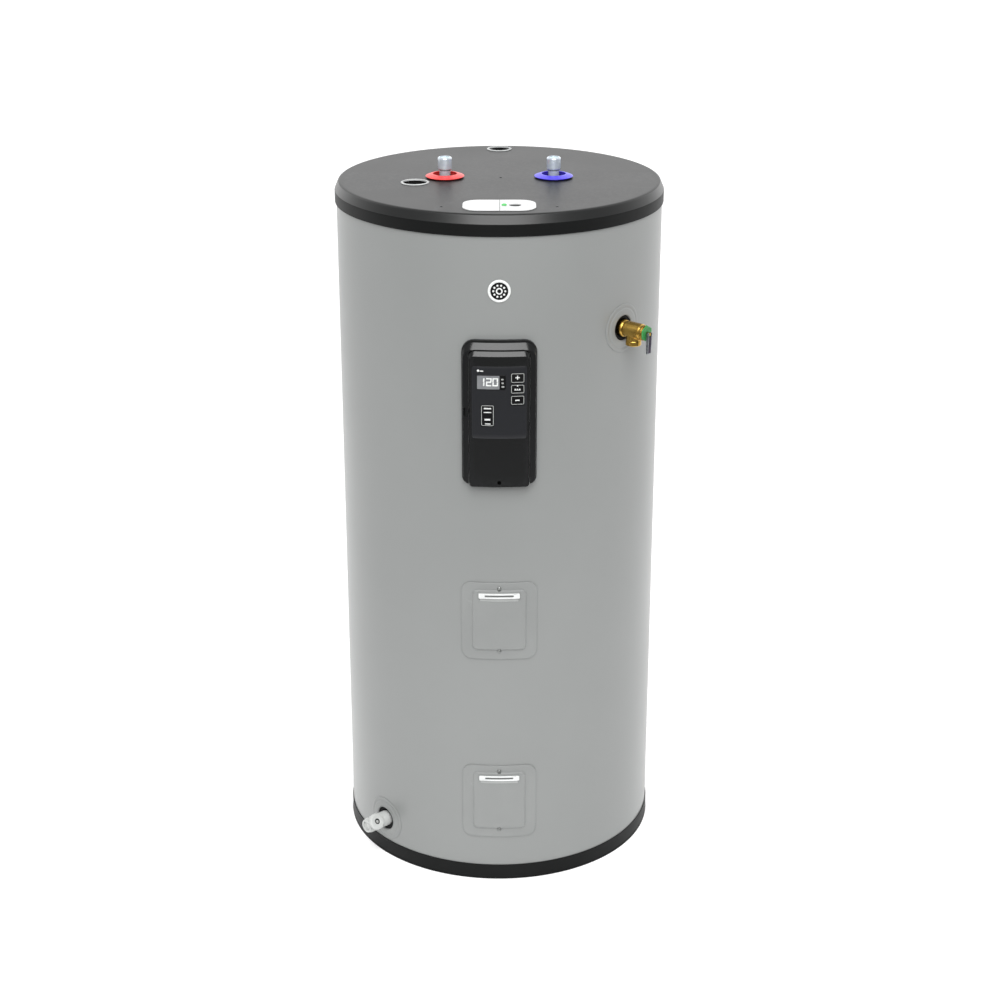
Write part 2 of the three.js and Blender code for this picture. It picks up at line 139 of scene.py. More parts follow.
def makeObject(name, mesh):
    piece = bpy.data.objects.new(name, mesh)
    bpy.context.scene.collection.objects.link(piece)
    return piece


def form(name, *grids):
    # a piece welded from its grids, still without a body or a finish
    return makeObject(name, makeMesh(name, grids))


def settle(piece, body, material, slot, *replaced):
    # gives a piece its finish, the body it rides on and the CAD nodes it stands for; slot is not used
    piece.data.materials.clear()
    piece.data.materials.append(material)
    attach(piece, body)
    if replaced:
        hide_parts(*replaced)
    return piece


def stand(node, name, piece, material):
    # piece stands for a CAD node: it rides on the node's body
    piece.name = name
    return settle(piece, bodyOf[node], material, slotOf[node], node)


def softCorners(points, closed=False, steps=5):
    # each corner (a, b, radius) becomes a quadratic curve between points cut back along its two sides
    rows = np.array(points, float)
    p, radius = rows[:, :2], rows[:, 2].copy()
    if not closed:
        radius[[0, -1]] = 0
    before, after = np.roll(p, 1, 0) - p, np.roll(p, -1, 0) - p
    lengthBefore = np.maximum(np.hypot(*before.T), 1e-9)
    lengthAfter = np.maximum(np.hypot(*after.T), 1e-9)
    cut = np.minimum(radius, np.minimum(lengthBefore, lengthAfter) * 0.49)
    start = p + before * (cut / lengthBefore)[:, None]
    end = p + after * (cut / lengthAfter)[:, None]
    t = np.linspace(0, 1, steps)[None, :, None]
    curve = (1 - t) ** 2 * start[:, None] + 2 * t * (1 - t) * p[:, None] + t ** 2 * end[:, None]
    return curve.reshape(-1, 2)


def turnedGrid(profile, closed=False, seg=96, steps=5, ripple=None, place=None):
    # point = (r cos a, r sin a, z) for each profile point (r, z) and angle a; ripple adds to r
    line = softCorners(profile, closed, steps)
    angle = np.linspace(0, 2 * pi, seg, endpoint=False)
    r = line[:, 0][:, None] + np.zeros_like(angle)[None]
    if ripple is not None:
        r = r + ripple(line, angle) * (r > 0.01)
    z = line[:, 1][:, None] + np.zeros_like(angle)[None]
    points = np.stack([r * np.cos(angle), r * np.sin(angle), z], -1)
    return (points if place is None else place(points), closed, True)


def outline(x0, z0, x1, z1, radius, inset=0.0, corner=7, side=9):
    # rounded rectangle: four quarter arcs with evenly spaced points on the straight sides between;
    # radius is one number or one for the lower and one for the upper corners
    low, high = np.array([x0 + inset, z0 + inset]), np.array([x1 - inset, z1 - inset])
    foot, head = radius if isinstance(radius, tuple) else (radius, radius)
    r = np.maximum(np.array([foot, head, head, foot]) - inset, 0.05)
    centre = np.array([[high[0] - r[0], low[1] + r[0]], [high[0] - r[1], high[1] - r[1]],
                       [low[0] + r[2], high[1] - r[2]], [low[0] + r[3], low[1] + r[3]]])
    first = np.array([-pi / 2, 0, pi / 2, pi])[:, None]
    a = first + np.linspace(0, pi / 2, corner)[None]
    arc = centre[:, None] + r[:, None, None] * np.stack([np.cos(a), np.sin(a)], -1)
    last, following = arc[:, -1:], np.roll(arc[:, :1], -1, 0)
    s = np.linspace(0, 1, side + 2)[1:-1][None, :, None]
    return np.concatenate([arc, last + (following - last) * s], 1).reshape(-1, 2)


def onJacket(xz, height):
    # drawn from the front: x and z stay, y falls on a cylinder that stands height off the jacket
    x, z = xz[..., 0], xz[..., 1]
    y = -np.sqrt((jacketR + height) ** 2 - x ** 2)
    return np.stack([x, y, z], -1)


def onTop(xy, height):
    # laid flat: x and y stay, z is the top of the cap plus the height
    return np.stack([xy[..., 0], xy[..., 1], topZ + height + 0 * xy[..., 0]], -1)


def ringsGrid(rings, heights, lay=onJacket, fill=9):
    # one ring of points per height, closed by rings shrinking to the middle in front and behind
    s = np.linspace(1, 0, fill)[1:, None, None]
    low, high = [(ring.min(0) + ring.max(0)) / 2 for ring in (rings[0], rings[-1])]
    behind = (low + (rings[0] - low) * s)[::-1]
    front = high + (rings[-1] - high) * s
    flat = np.concatenate([behind, np.array(rings), front])
    h = np.concatenate([np.full(fill - 1, heights[0]), heights, np.full(fill - 1, heights[-1])])
    return lay(flat, h[:, None]), False, True


def plateGrid(shape, layers, lay=onJacket, fill=9, **density):
    # the outline drawn in by each layer's inset at its height
    rings = [outline(*shape, inset=inset, **density) for inset, _ in layers]
    return ringsGrid(rings, [height for _, height in layers], lay, fill)


def ledgeGrid(shape, rows):
    # plate whose sides, head and foot are drawn in by different amounts: rows of
    # (sides, head, foot, lower corner radius, upper corner radius, height)
    x0, z0, x1, z1 = shape
    rings = [outline(x0 + side, z0 + foot, x1 - side, z1 - head, (low, high), side=14)
             for side, head, foot, low, high, _ in rows]
    return ringsGrid(rings, [row[-1] for row in rows])


def prismPoints(ring, z0, z1):
    # upright prism over a flat ring: middle point and ring at z0, ring and middle point at z1
    middle = ring * 0 + ring.mean(0)
    flat = np.array([middle, ring, ring, middle])
    z = np.array([z0, z0, z1, z1])[:, None, None] + np.zeros(flat.shape[:2] + (1,))
    return np.concatenate([flat, z], -1)


def shiftTo(x, y, z=0):
    # moves points from the origin to x, y, z
    return lambda points: points + np.array([x, y, z])


def outFrom(place, distance):
    # moves points outwards along Z first, then turns them to their place
    return lambda points: place(points + np.array([0, 0, distance]))


def bars(rows, low, high, lay=onJacket, cells=6):
    # each row (x0, z0, x1, z1, slant) is a small closed bar printed between two heights
    grids = []
    for x0, z0, x1, z1, slant in rows:
        u = np.linspace(0, 1, cells)
        loop = np.array([[0, 0], [1, 0], [1, 1], [0, 1], [0, 0]], float)
        v, front = loop[:, 0][:, None], loop[:, 1][:, None]
        x = x0 + (x1 - x0) * u[None] + slant * v
        z = z0 + (z1 - z0) * v + 0 * u[None]
        body = lay(np.stack([x, z], -1), low + (high - low) * front)
        tube = body[:4]
        ends = tube.mean(0, keepdims=True)
        left = np.repeat(ends[:, :1], 4, 0)
        right = np.repeat(ends[:, -1:], 4, 0)
        grids.append((np.concatenate([left, tube, right], 1), True, False))
    return grids


def carve(piece, cutters, operation="DIFFERENCE", sharp=32):
    # joins or cuts with other closed shapes, then keeps the result as the piece's own mesh
    for cutter in cutters:
        tool = piece.modifiers.new("tool", "BOOLEAN")
        tool.operation, tool.object, tool.solver = operation, cutter, "EXACT"
    graph = bpy.context.evaluated_depsgraph_get()
    mesh = bpy.data.meshes.new_from_object(piece.evaluated_get(graph))
    piece.modifiers.clear()
    piece.data = mesh
    for cutter in cutters:
        bpy.data.objects.remove(cutter)
    mesh.shade_smooth()
    mesh.set_sharp_from_angle(angle=radians(sharp))
    return piece


def softenEdges(piece, width, segments=2, angle=30):
    bevel = piece.modifiers.new("soft edges", "BEVEL")
    bevel.width, bevel.segments, bevel.limit_method = width * mm, segments, "ANGLE"
    bevel.angle_limit = radians(angle)
    flat = piece.modifiers.new("even shading", "WEIGHTED_NORMAL")
    flat.keep_sharp = True
    return piece


def fromNode(node, width, angle=30):
    # merged copy of a CAD node with its flat faces joined and its edges softened
    mesh = nodes[node].data.copy()
    work = bmesh.new()
    work.from_mesh(mesh)
    bmesh.ops.remove_doubles(work, verts=work.verts, dist=2e-6)
    bmesh.ops.dissolve_limit(work, angle_limit=radians(1), verts=work.verts, edges=work.edges)
    work.to_mesh(mesh)
    work.free()
    mesh.shade_smooth()
    mesh.set_sharp_from_angle(angle=radians(angle))
    return softenEdges(makeObject(node + "_fine", mesh), width, angle=angle)


# finishes: colour wanders between two tones in patches, a fine grain moves roughness and height,
# and edges that stick out are rubbed to a third tone

def finish(name, look):
    material = bpy.data.materials.new(name)
    material.use_nodes = True
    tree = material.node_tree
    shader = tree.nodes["Principled BSDF"]
    link = tree.links.new
    place = tree.nodes.new("ShaderNodeTexCoord")
    stretch = tree.nodes.new("ShaderNodeMapping")
    stretch.inputs["Scale"].default_value = look.get("stretch", (1, 1, 1))
    link(place.outputs["Object"], stretch.inputs["Vector"])

    def noise(scale, detail, rough=0.55):
        node = tree.nodes.new("ShaderNodeTexNoise")
        node.inputs["Scale"].default_value = scale
        node.inputs["Detail"].default_value = detail
        node.inputs["Roughness"].default_value = rough
        link(stretch.outputs["Vector"], node.inputs["Vector"])
        return node.outputs["Fac"]

    def spread(value, low, high, toLow, toHigh):
        node = tree.nodes.new("ShaderNodeMapRange")
        for key, number in zip(("From Min", "From Max", "To Min", "To Max"), (low, high, toLow, toHigh)):
            node.inputs[key].default_value = number
        link(value, node.inputs["Value"])
        return node.outputs["Result"]

    def blendTones(amount, first, second):
        node = tree.nodes.new("ShaderNodeMix")
        node.data_type = "RGBA"
        link(amount, node.inputs["Factor"])
        for socket, value in ((node.inputs["A"], first), (node.inputs["B"], second)):
            if isinstance(value, tuple):
                socket.default_value = value
            else:
                link(value, socket)
        return node.outputs["Result"]

    patches = noise(look.get("patch", 7), 4)
    grain = noise(look.get("grain", 900), 3, 0.6)
    colour = blendTones(spread(patches, 0.35, 0.65, 0, 1), look["tone"], look.get("tone2", look["tone"]))
    if "wear" in look:
        shape = tree.nodes.new("ShaderNodeNewGeometry")
        edge = spread(shape.outputs["Pointiness"], *look.get("wearRange", (0.52, 0.6)), 0, 1)
        broken = tree.nodes.new("ShaderNodeMath")
        broken.operation = "MULTIPLY"
        link(edge, broken.inputs[0])
        link(spread(noise(look.get("wearGrain", 160), 5), 0.42, 0.62, 0, look["wearAmount"]),
             broken.inputs[1])
        colour = blendTones(broken.outputs["Value"], colour, look["wear"])
    link(colour, shader.inputs["Base Color"])
    low, high = look["rough"]
    both = tree.nodes.new("ShaderNodeMath")
    both.operation = "ADD"
    link(grain, both.inputs[0])
    link(patches, both.inputs[1])
    link(spread(both.outputs["Value"], 0.7, 1.3, low, high), shader.inputs["Roughness"])
    bump = tree.nodes.new("ShaderNodeBump")
    bump.inputs["Strength"].default_value = look.get("bump", 0.2)
    bump.inputs["Distance"].default_value = look.get("depth", 0.05) * mm
    link(grain, bump.inputs["Height"])
    link(bump.outputs["Normal"], shader.inputs["Normal"])
    shader.inputs["Metallic"].default_value = look.get("metal", 0)
    shader.inputs["Specular IOR Level"].default_value = look.get("specular", 0.5)
    shader.inputs["Coat Weight"].default_value = look.get("coat", 0)
    shader.inputs["Coat Roughness"].default_value = look.get("coatRough", 0.1)
    return material


looks = {
    "jacketEnamel": {"tone": tone(135, 137, 136), "tone2": tone(133, 135, 134), "rough": (0.28, 0.33),
                     "patch": 3, "grain": 700, "bump": 0.12, "depth": 0.04, "specular": 0.5},
    "coverGrey": {"tone": tone(135, 137, 136), "tone2": tone(132, 134, 133), "rough": (0.36, 0.44),
                  "patch": 12, "grain": 1400, "bump": 0.2, "depth": 0.04, "wear": tone(160, 162, 161),
                  "wearAmount": 0.2},
    # painted highlight: lighter than the cover, for the band of the apron under the hood
    "apronPaintedHighlight": {"tone": tone(164, 166, 165), "tone2": tone(158, 160, 159), "rough": (0.3, 0.4),
                  "patch": 40, "grain": 1800, "bump": 0.12, "depth": 0.02},
    # painted highlight: near-white for the rim of the hood round the slot
    "lipPaintedHighlight": {"tone": tone(222, 224, 223), "tone2": tone(212, 214, 213), "rough": (0.25, 0.35),
                "patch": 40, "grain": 1800, "bump": 0.12, "depth": 0.02},
    "blackPowder": {"tone": tone(20, 21, 21), "tone2": tone(19, 20, 20), "rough": (0.4, 0.43), "patch": 9,
                    "grain": 1100, "bump": 0.2, "depth": 0.04, "specular": 0.27, "wear": tone(60, 61, 62),
                    "wearAmount": 0.3},
    # painted sheen: a lighter, glossier copy of the cap's black, for the cap's shoulder
    "shoulderBlackPaintedSheen": {"tone": tone(26, 27, 27), "tone2": tone(24, 25, 25), "rough": (0.3, 0.36),
                      "patch": 9, "grain": 1100, "bump": 0.2, "depth": 0.04, "specular": 0.44,
                      "wear": tone(60, 61, 62), "wearAmount": 0.3},
    # the base pan's own black; on the cap it is also painted shade, a duller copy of the cap's black for the wall
    # below the shoulder
    "panBlackAndPaintedWallShade": {"tone": tone(20, 21, 21), "tone2": tone(17, 18, 18), "rough": (0.4, 0.5), "patch": 9,
                 "grain": 1100, "bump": 0.25, "depth": 0.04, "specular": 0.12, "wear": tone(56, 57, 58),
                 "wearAmount": 0.3},
    "blackMoulded": {"tone": tone(14, 15, 15), "tone2": tone(12, 13, 14), "rough": (0.16, 0.24),
                     "patch": 20, "grain": 2200, "bump": 0.1, "depth": 0.02, "specular": 0.5,
                     "wear": tone(52, 53, 54), "wearAmount": 0.12, "wearRange": (0.56, 0.66)},
    "keypadFilm": {"tone": tone(30, 31, 34), "tone2": tone(28, 29, 32), "rough": (0.3, 0.4), "patch": 30,
                   "grain": 3000, "bump": 0.15, "depth": 0.02, "specular": 0.3},
    "keyBlack": {"tone": tone(5, 5, 6), "tone2": tone(9, 9, 10), "rough": (0.3, 0.42), "patch": 60,
                 "grain": 3000, "bump": 0.12, "depth": 0.02, "specular": 0.25},
    "printLight": {"tone": tone(226, 228, 226), "tone2": tone(206, 208, 207), "rough": (0.4, 0.5),
                   "patch": 300, "grain": 3000, "bump": 0.1, "depth": 0.01},
    "printGrey": {"tone": tone(168, 170, 168), "tone2": tone(150, 152, 150), "rough": (0.4, 0.5),
                  "patch": 300, "grain": 3000, "bump": 0.1, "depth": 0.01},
    "displayGlass": {"tone": tone(122, 124, 126), "tone2": tone(112, 114, 117), "rough": (0.16, 0.24),
                     "patch": 80, "grain": 2500, "bump": 0.05, "depth": 0.01},
    "zinc": {"tone": tone(206, 216, 222), "tone2": tone(196, 204, 216), "rough": (0.18, 0.26),
             "patch": 60, "grain": 1800, "bump": 0.06, "depth": 0.02, "metal": 0.5,
             "wear": tone(236, 242, 246), "wearAmount": 0.5, "stretch": (1, 1, 3)},
    "plateWhite": {"tone": tone(206, 207, 207), "tone2": tone(198, 199, 199), "rough": (0.3, 0.42),
                   "patch": 25, "grain": 1500, "bump": 0.15, "depth": 0.03, "wear": tone(200, 201, 203),
                   "wearAmount": 0.4},
    "redMoulded": {"tone": tone(232, 62, 62), "tone2": tone(222, 52, 52), "rough": (0.28, 0.4),
                   "patch": 40, "grain": 1800, "bump": 0.12, "depth": 0.03, "wear": tone(250, 130, 125),
                   "wearAmount": 0.4},
    "blueMoulded": {"tone": tone(74, 62, 214), "tone2": tone(66, 56, 200), "rough": (0.28, 0.4),
                    "patch": 40, "grain": 1800, "bump": 0.12, "depth": 0.03, "wear": tone(140, 132, 245),
                    "wearAmount": 0.4},
    "portGrey": {"tone": tone(178, 180, 180), "tone2": tone(160, 162, 162), "rough": (0.35, 0.5),
                 "patch": 30, "grain": 1500, "bump": 0.15, "depth": 0.03},
    # near-black with almost no sheen: painted shade in the sunk port plugs and the knob's recess ring, and the
    # panel screw's own black
    "blackScrewAndPaintedHoleShade": {"tone": tone(3, 3, 3), "tone2": tone(6, 6, 6), "rough": (0.8, 0.95), "patch": 60,
                    "grain": 1200, "bump": 0.3, "depth": 0.1, "specular": 0.02},
    "greenMoulded": {"tone": tone(58, 140, 72), "tone2": tone(42, 118, 58), "rough": (0.3, 0.45),
                     "patch": 90, "grain": 2000, "bump": 0.2, "depth": 0.03, "wear": tone(120, 190, 130),
                     "wearAmount": 0.5},
    "greenScrew": {"tone": tone(84, 190, 100), "tone2": tone(66, 168, 84), "rough": (0.3, 0.5),
                   "patch": 150, "grain": 2500, "bump": 0.2, "depth": 0.02, "metal": 0.1,
                   "wear": tone(150, 190, 150), "wearAmount": 0.5},
    "castBrass": {"tone": tone(200, 164, 84), "tone2": tone(180, 142, 66), "rough": (0.18, 0.32),
                  "patch": 55, "grain": 1600, "bump": 0.35, "depth": 0.06, "metal": 1.0,
                  "wear": tone(246, 218, 140), "wearAmount": 0.6},
    "platedSteel": {"tone": tone(150, 152, 158), "tone2": tone(122, 124, 130), "rough": (0.22, 0.4),
                    "patch": 80, "grain": 2000, "bump": 0.2, "depth": 0.03, "metal": 1.0,
                    "wear": tone(205, 207, 210), "wearAmount": 0.6, "stretch": (1, 1, 3)},
    # painted dark reflection: a darker copy of the lever's steel for its outer face
    "steelPaintedDarkReflection": {"tone": tone(70, 60, 72), "tone2": tone(48, 44, 56), "rough": (0.25, 0.4), "patch": 80,
                  "grain": 2000, "bump": 0.2, "depth": 0.03, "metal": 1.0},
    "screwZinc": {"tone": tone(150, 152, 150), "tone2": tone(126, 128, 127), "rough": (0.3, 0.5),
                  "patch": 200, "grain": 2500, "bump": 0.25, "depth": 0.02, "metal": 1.0,
                  "wear": tone(210, 212, 210), "wearAmount": 0.6},
    "valveWhite": {"tone": tone(190, 192, 190), "tone2": tone(180, 182, 180), "rough": (0.34, 0.46),
                   "patch": 50, "grain": 1800, "bump": 0.18, "depth": 0.03, "wear": tone(214, 215, 213),
                   "wearAmount": 0.4},
    "linerPale": {"tone": tone(196, 214, 214), "tone2": tone(176, 200, 202), "rough": (0.3, 0.45),
                  "patch": 80, "grain": 1800, "bump": 0.12, "depth": 0.02},
    "packingBlack": {"tone": tone(16, 16, 17), "tone2": tone(26, 26, 27), "rough": (0.7, 0.9),
                     "patch": 120, "grain": 600, "bump": 0.8, "depth": 0.4, "specular": 0.2},
    "foamCream": {"tone": tone(226, 212, 160), "tone2": tone(206, 188, 130), "rough": (0.8, 0.95),
                  "patch": 40, "grain": 500, "bump": 0.8, "depth": 0.5},
    "tankBlue": {"tone": tone(48, 58, 74), "tone2": tone(38, 44, 56), "rough": (0.35, 0.6), "patch": 12,
                 "grain": 500, "bump": 0.4, "depth": 0.1, "metal": 0.4},
    "coppery": {"tone": tone(192, 128, 88), "tone2": tone(150, 96, 64), "rough": (0.3, 0.5), "patch": 60,
                "grain": 1200, "bump": 0.2, "depth": 0.03, "metal": 1.0},
    "boardGreen": {"tone": tone(24, 92, 54), "tone2": tone(18, 74, 44), "rough": (0.3, 0.5), "patch": 200,
                   "grain": 2000, "bump": 0.2, "depth": 0.05},
    "tubeIvory": {"tone": tone(228, 224, 210), "tone2": tone(214, 208, 190), "rough": (0.4, 0.6),
                  "patch": 20, "grain": 900, "bump": 0.2, "depth": 0.05},
}
paints = {name: finish(name, look) for name, look in looks.items()}
slotPaint = {
    "jacket_grey": "jacketEnamel", "cover_grey": "coverGrey", "black_plastic": "blackMoulded",
    "black_steel": "blackPowder", "white_plastic": "valveWhite", "foam": "foamCream",
    "tank_steel": "tankBlue", "zinc": "zinc", "plate_steel": "plateWhite", "red_plastic": "redMoulded",
    "blue_plastic": "blueMoulded", "grey_plastic": "portGrey", "green_plastic": "greenMoulded",
    "green_screw": "greenScrew", "brass": "castBrass", "steel": "platedSteel", "magnesium": "screwZinc",
    "copper_sheath": "coppery", "board": "boardGreen", "overlay": "keypadFilm", "display": "displayGlass",
    "badge": "printLight", "rubber_black": "packingBlack", "screw_steel": "screwZinc",
    "insulation": "tubeIvory", "clear_tube": "tubeIvory",
}
for node, thing in nodes.items():
    thing.data.materials.clear()
    thing.data.materials.append(paints[slotPaint[slotOf[node]]])
print("finishes ready:", len(paints))


# jacket, foot and cap

def radialPlace(angle, z):
    # drawn with Z outwards, Y up and X sideways, then turned to its angle round the tank
    outward = np.array([np.sin(angle), -np.cos(angle), 0])
    sideways = np.array([np.cos(angle), np.sin(angle), 0])
    axes = np.stack([sideways, [0, 0, 1], outward])
    return lambda points: points @ axes + np.array([0, 0, z])


reliefAxis = np.array(joints["relief_stem_lift"]["axis"])
reliefPivot = np.array(joints["relief_lever_hinge"]["pos_m"]) / mm
reliefPlace = radialPlace(atan2(reliefAxis[0], -reliefAxis[1]), reliefPivot[2])
drainAxis = np.array(mounts["drain_outlet"]["axis"])
drainCentre = np.array(joints["drain_knob_turn"]["pos_m"]) / mm
drainPlace = radialPlace(atan2(drainAxis[0], -drainAxis[1]), drainCentre[2])
ports = {"relief": reliefPlace, "drain": drainPlace}
portHole = 23.3

jacketLook = {"wall": 1.0, "edge": 0.3, "seamHeight": 0.7, "seamWidth": 0.05, "segments": 180}


def seam(line, angle):
    # lapped seam: a low step over a short arc at the back
    away = np.abs((angle - pi / 2 + pi) % (2 * pi) - pi)
    outside = (line[:, 0] > jacketR - 0.5)[:, None]
    return jacketLook["seamHeight"] * (away < jacketLook["seamWidth"])[None] * outside


inner = jacketR - jacketLook["wall"]
jacketProfile = [(inner, jacketLow[2], 0), (jacketR, jacketLow[2], jacketLook["edge"]),
                 (jacketR, jacketHigh[2], jacketLook["edge"]), (inner, jacketHigh[2], 0)]
jacket = form("jacket", turnedGrid(jacketProfile, True, jacketLook["segments"], 3, seam))
holeProfile = [(0, 280, 0), (portHole, 280, 0), (portHole, 330, 0), (0, 330, 0)]
holes = [form("hole", turnedGrid(holeProfile, seg=48, place=place)) for place in ports.values()]
carve(jacket, holes)
stand("outer_jacket", "jacket", jacket, paints["jacketEnamel"])
# shading normals point straight away from the axis, and towards it on the inside
mesh = jacket.data
spots = np.zeros(len(mesh.vertices) * 3)
mesh.vertices.foreach_get("co", spots)
spots = spots.reshape(-1, 3)
facing = spots * [1, 1, 0]
facing = facing / np.linalg.norm(facing, axis=1, keepdims=True)
facing[np.hypot(spots[:, 0], spots[:, 1]) < (jacketR - 0.5) * mm] *= -1
mesh.normals_split_custom_set_from_vertices(facing)

panHigh = boxOf("base_pan")[1]
panLook = {"lip": 2.4, "wall": 1.6, "gap": 0.35}
rimZ = panHigh[2]
panProfile = [(0, 0, 0), (jacketR + panLook["lip"], 0, 1), (jacketR + panLook["lip"], 3, 1),
              (jacketR + panLook["wall"], 5, 1.5), (jacketR + panLook["wall"], rimZ, 0.8),
              (jacketR + panLook["gap"], rimZ, 0.4), (jacketR + panLook["gap"], 2, 0), (0, 2, 0)]
pan = form("pan", turnedGrid(panProfile, seg=180))
stand("base_pan", "foot_pan", pan, paints["panBlackAndPaintedWallShade"])

capLook = {"flat": 299.5, "shoulder": 1310.0, "wall": 2.0, "pipeHole": 14.6, "dimple": 2.6,
           "dimpleDepth": 0.9, "dimples": ((2.8, -3.6), (102, -243), (-102, -243))}
skirt = capLow[2]
capR = capHigh[0]
capProfile = [(0, topZ - capLook["wall"], 0), (capLook["flat"] - 2, topZ - capLook["wall"], 2),
              (jacketR + 0.4, capLook["shoulder"], 2), (jacketR + 0.4, skirt, 0.2),
              (capR - 0.2, skirt, 0.6), (capR, capLook["shoulder"], 1.2),
              (capLook["flat"] + 1.6, topZ - 1.6, 3), (capLook["flat"] - 2, topZ, 2.5),
              (capLook["flat"] - 9, topZ, 0), (0, topZ, 0)]
cap = form("cap", turnedGrid(capProfile, seg=180, steps=6))


def drill(x, y, r, low, high, seg=48):
    # upright round cutter: a rectangle turned about the line through x, y
    profile = [(0, low, 0), (r, low, 0), (r, high, 0), (0, high, 0)]
    return form("drill", turnedGrid(profile, seg=seg, steps=1, place=shiftTo(x, y)))


def middleOf(node):
    lo, hi = boxOf(node)
    return (lo + hi) / 2


anodeSpot, rearSpot = middleOf("anode_port_plug"), middleOf("rear_port_plug")
coldSpot, hotSpot = middleOf("cold_nipple"), middleOf("hot_nipple")
portSize = {"anode": (anodeSpot, 23.0), "rear": (rearSpot, 21.0)}
cutters = [drill(x, y, r, topZ - 12, topZ + 5) for (x, y, _), r in portSize.values()]
cutters += [drill(x, y, capLook["pipeHole"], topZ - 12, topZ + 5) for x, y, _ in (coldSpot, hotSpot)]
cutters += [drill(x, y, capLook["dimple"], topZ - capLook["dimpleDepth"], topZ + 5, 20)
            for x, y in capLook["dimples"]]
carve(cap, cutters)
softenEdges(cap, 0.3)
stand("top_cap", "lid", cap, paints["blackPowder"])
# the cap's black in lit and shaded copies: painted shade makes the wall below the shoulder duller than the flat
# top, painted sheen makes the shoulder itself a little lighter and glossier
cap.data.materials.append(paints["panBlackAndPaintedWallShade"])
cap.data.materials.append(paints["shoulderBlackPaintedSheen"])
centres = np.zeros(len(cap.data.polygons) * 3)
cap.data.polygons.foreach_get("center", centres)
centres = centres.reshape(-1, 3) / mm
below = centres[:, 2] < capLook["shoulder"] + 0.6
paintedSheenShoulder = ~below & (np.hypot(centres[:, 0], centres[:, 1]) > capLook["flat"] + 0.8)
cap.data.polygons.foreach_set("material_index", (below + 2 * paintedSheenShoulder).astype(np.int32))
print("jacket, foot and cap ready")

# what stands on the cap

nippleLook = {"head": 13.35, "neck": 10.4, "neckTop": 15.8, "top": 38.4, "bore": 9.4, "chamfer": 2.0}


def nipple(node, spot):
    # pipe end: narrow neck under a plain head, turned round the bore
    n = nippleLook
    low, high = boxOf(node)
    z0, z1 = topZ + n["neckTop"], topZ + n["top"]
    profile = [(n["bore"], low[2], 0), (n["head"], low[2], 0.6), (n["head"], low[2] + 18, 0.6),
               (n["neck"], low[2] + 20, 1), (n["neck"], z0 - 2, 1.4), (n["head"] - 0.8, z0, 0.9),
               (n["head"], z0 + 1.4, 0.8), (n["head"], z1 - n["chamfer"], 1.4),
               (n["head"] - n["chamfer"], z1, 0.9), (n["bore"], z1, 0.5), (n["bore"] - 0.2, z1 - 3, 0.3)]
    return form(node, turnedGrid(profile, True, 72, 6, place=shiftTo(spot[0], spot[1])))


def liner(name, spot):
    # heat trap insert: shallow dished disc with a raised lip just inside the pipe's mouth
    z = topZ + nippleLook["top"]
    profile = [(0, z - 3.6, 0), (6.2, z - 3.4, 2), (7.4, z - 1.6, 0.8), (9.0, z - 1.5, 0.4),
               (9.1, z - 12, 0.3), (0, z - 12, 0)]
    return form(name, turnedGrid(profile, seg=48, place=shiftTo(spot[0], spot[1])))


def collar(node, spot):
    # low cone from a thin outer lip up to a rolled inner rim
    z = topZ + 0.35
    profile = [(24.6, z, 0.3), (32, z, 0.5), (36.4, z + 2.6, 0.5), (36.1, z + 3.2, 0.4), (32.5, z + 4.7, 2),
               (25.2, z + 7.1, 1.4), (22.6, z + 7.3, 0.5), (22.5, z + 5.6, 0.4), (24.2, z + 4.2, 0.6)]
    return form(node, turnedGrid(profile, True, 96, 5, place=shiftTo(spot[0], spot[1])))


for side, spot, colour in (("cold", coldSpot, "blueMoulded"), ("hot", hotSpot, "redMoulded")):
    stand(f"{side}_nipple", f"{side}_pipe_end", nipple(f"{side}_nipple", spot), paints["zinc"])
    settle(liner(f"{side}_pipe_liner", spot), "tank", paints["linerPale"], "clear_tube")
    stand(f"{side}_collar", f"{side}_ring", collar(f"{side}_collar", spot), paints[colour])

# top ports: a rolled lip round a sunk plug painted near-black as painted shade of the hole
for name, (spot, r) in portSize.items():
    onSpot = shiftTo(spot[0], spot[1])
    z = topZ
    lip = [(r - 1.1, z - 1.2, 0.2), (r - 0.4, z - 1.2, 0.2), (r - 0.4, z + 0.35, 0),
           (r + 3.6, z + 0.35, 0.2), (r + 3.6, z + 0.9, 0.4), (r + 1.8, z + 1.9, 0.9),
           (r - 0.3, z + 1.9, 0.6), (r - 1.1, z + 1.0, 0.4)]
    ringPiece = form("lip", turnedGrid(lip, True, 72, 5, place=onSpot))
    stand(f"{name}_port_ring", f"{name}_port_lip", ringPiece, paints["portGrey"])
    plugShape = [(0, z - 1.9, 0), (r - 1.2, z - 1.9, 0.2), (r - 1.2, z - 1.0, 0.3), (r - 3, z - 1.0, 0.5),
                 (r - 4.2, z - 1.5, 0.4), (5, z - 1.5, 0.6), (4, z - 1.2, 0.6), (0, z - 1.2, 0)]
    plug = form("plug", turnedGrid(plugShape, seg=64, place=onSpot))
    stand(f"{name}_port_plug", f"{name}_port_cap", plug, paints["blackScrewAndPaintedHoleShade"])

# junction plates: one rounded plate with a stepped rim, split by a joint, with pressed ends
plateLook = {"split": 0.9, "gap": 0.5, "round": 27, "height": 2.3, "knockOut": (27.9, -238.7, 11.1),
             "dimples": ((49.5, -238.7), (54.5, -238.7)), "dimple": 2.2, "pip": (-20.5, -238.5, 1.3)}
lowLeft, highLeft = boxOf("junction_cover")
highRight = boxOf("conduit_plate")[1]
shape = (lowLeft[0], lowLeft[1], highRight[0], highLeft[1], plateLook["round"])
plateLayers = [(0, 0.35), (0, 1.2), (0.5, 1.9), (1.6, plateLook["height"])]
boxMiddle = (lowLeft[1] + highLeft[1]) / 2


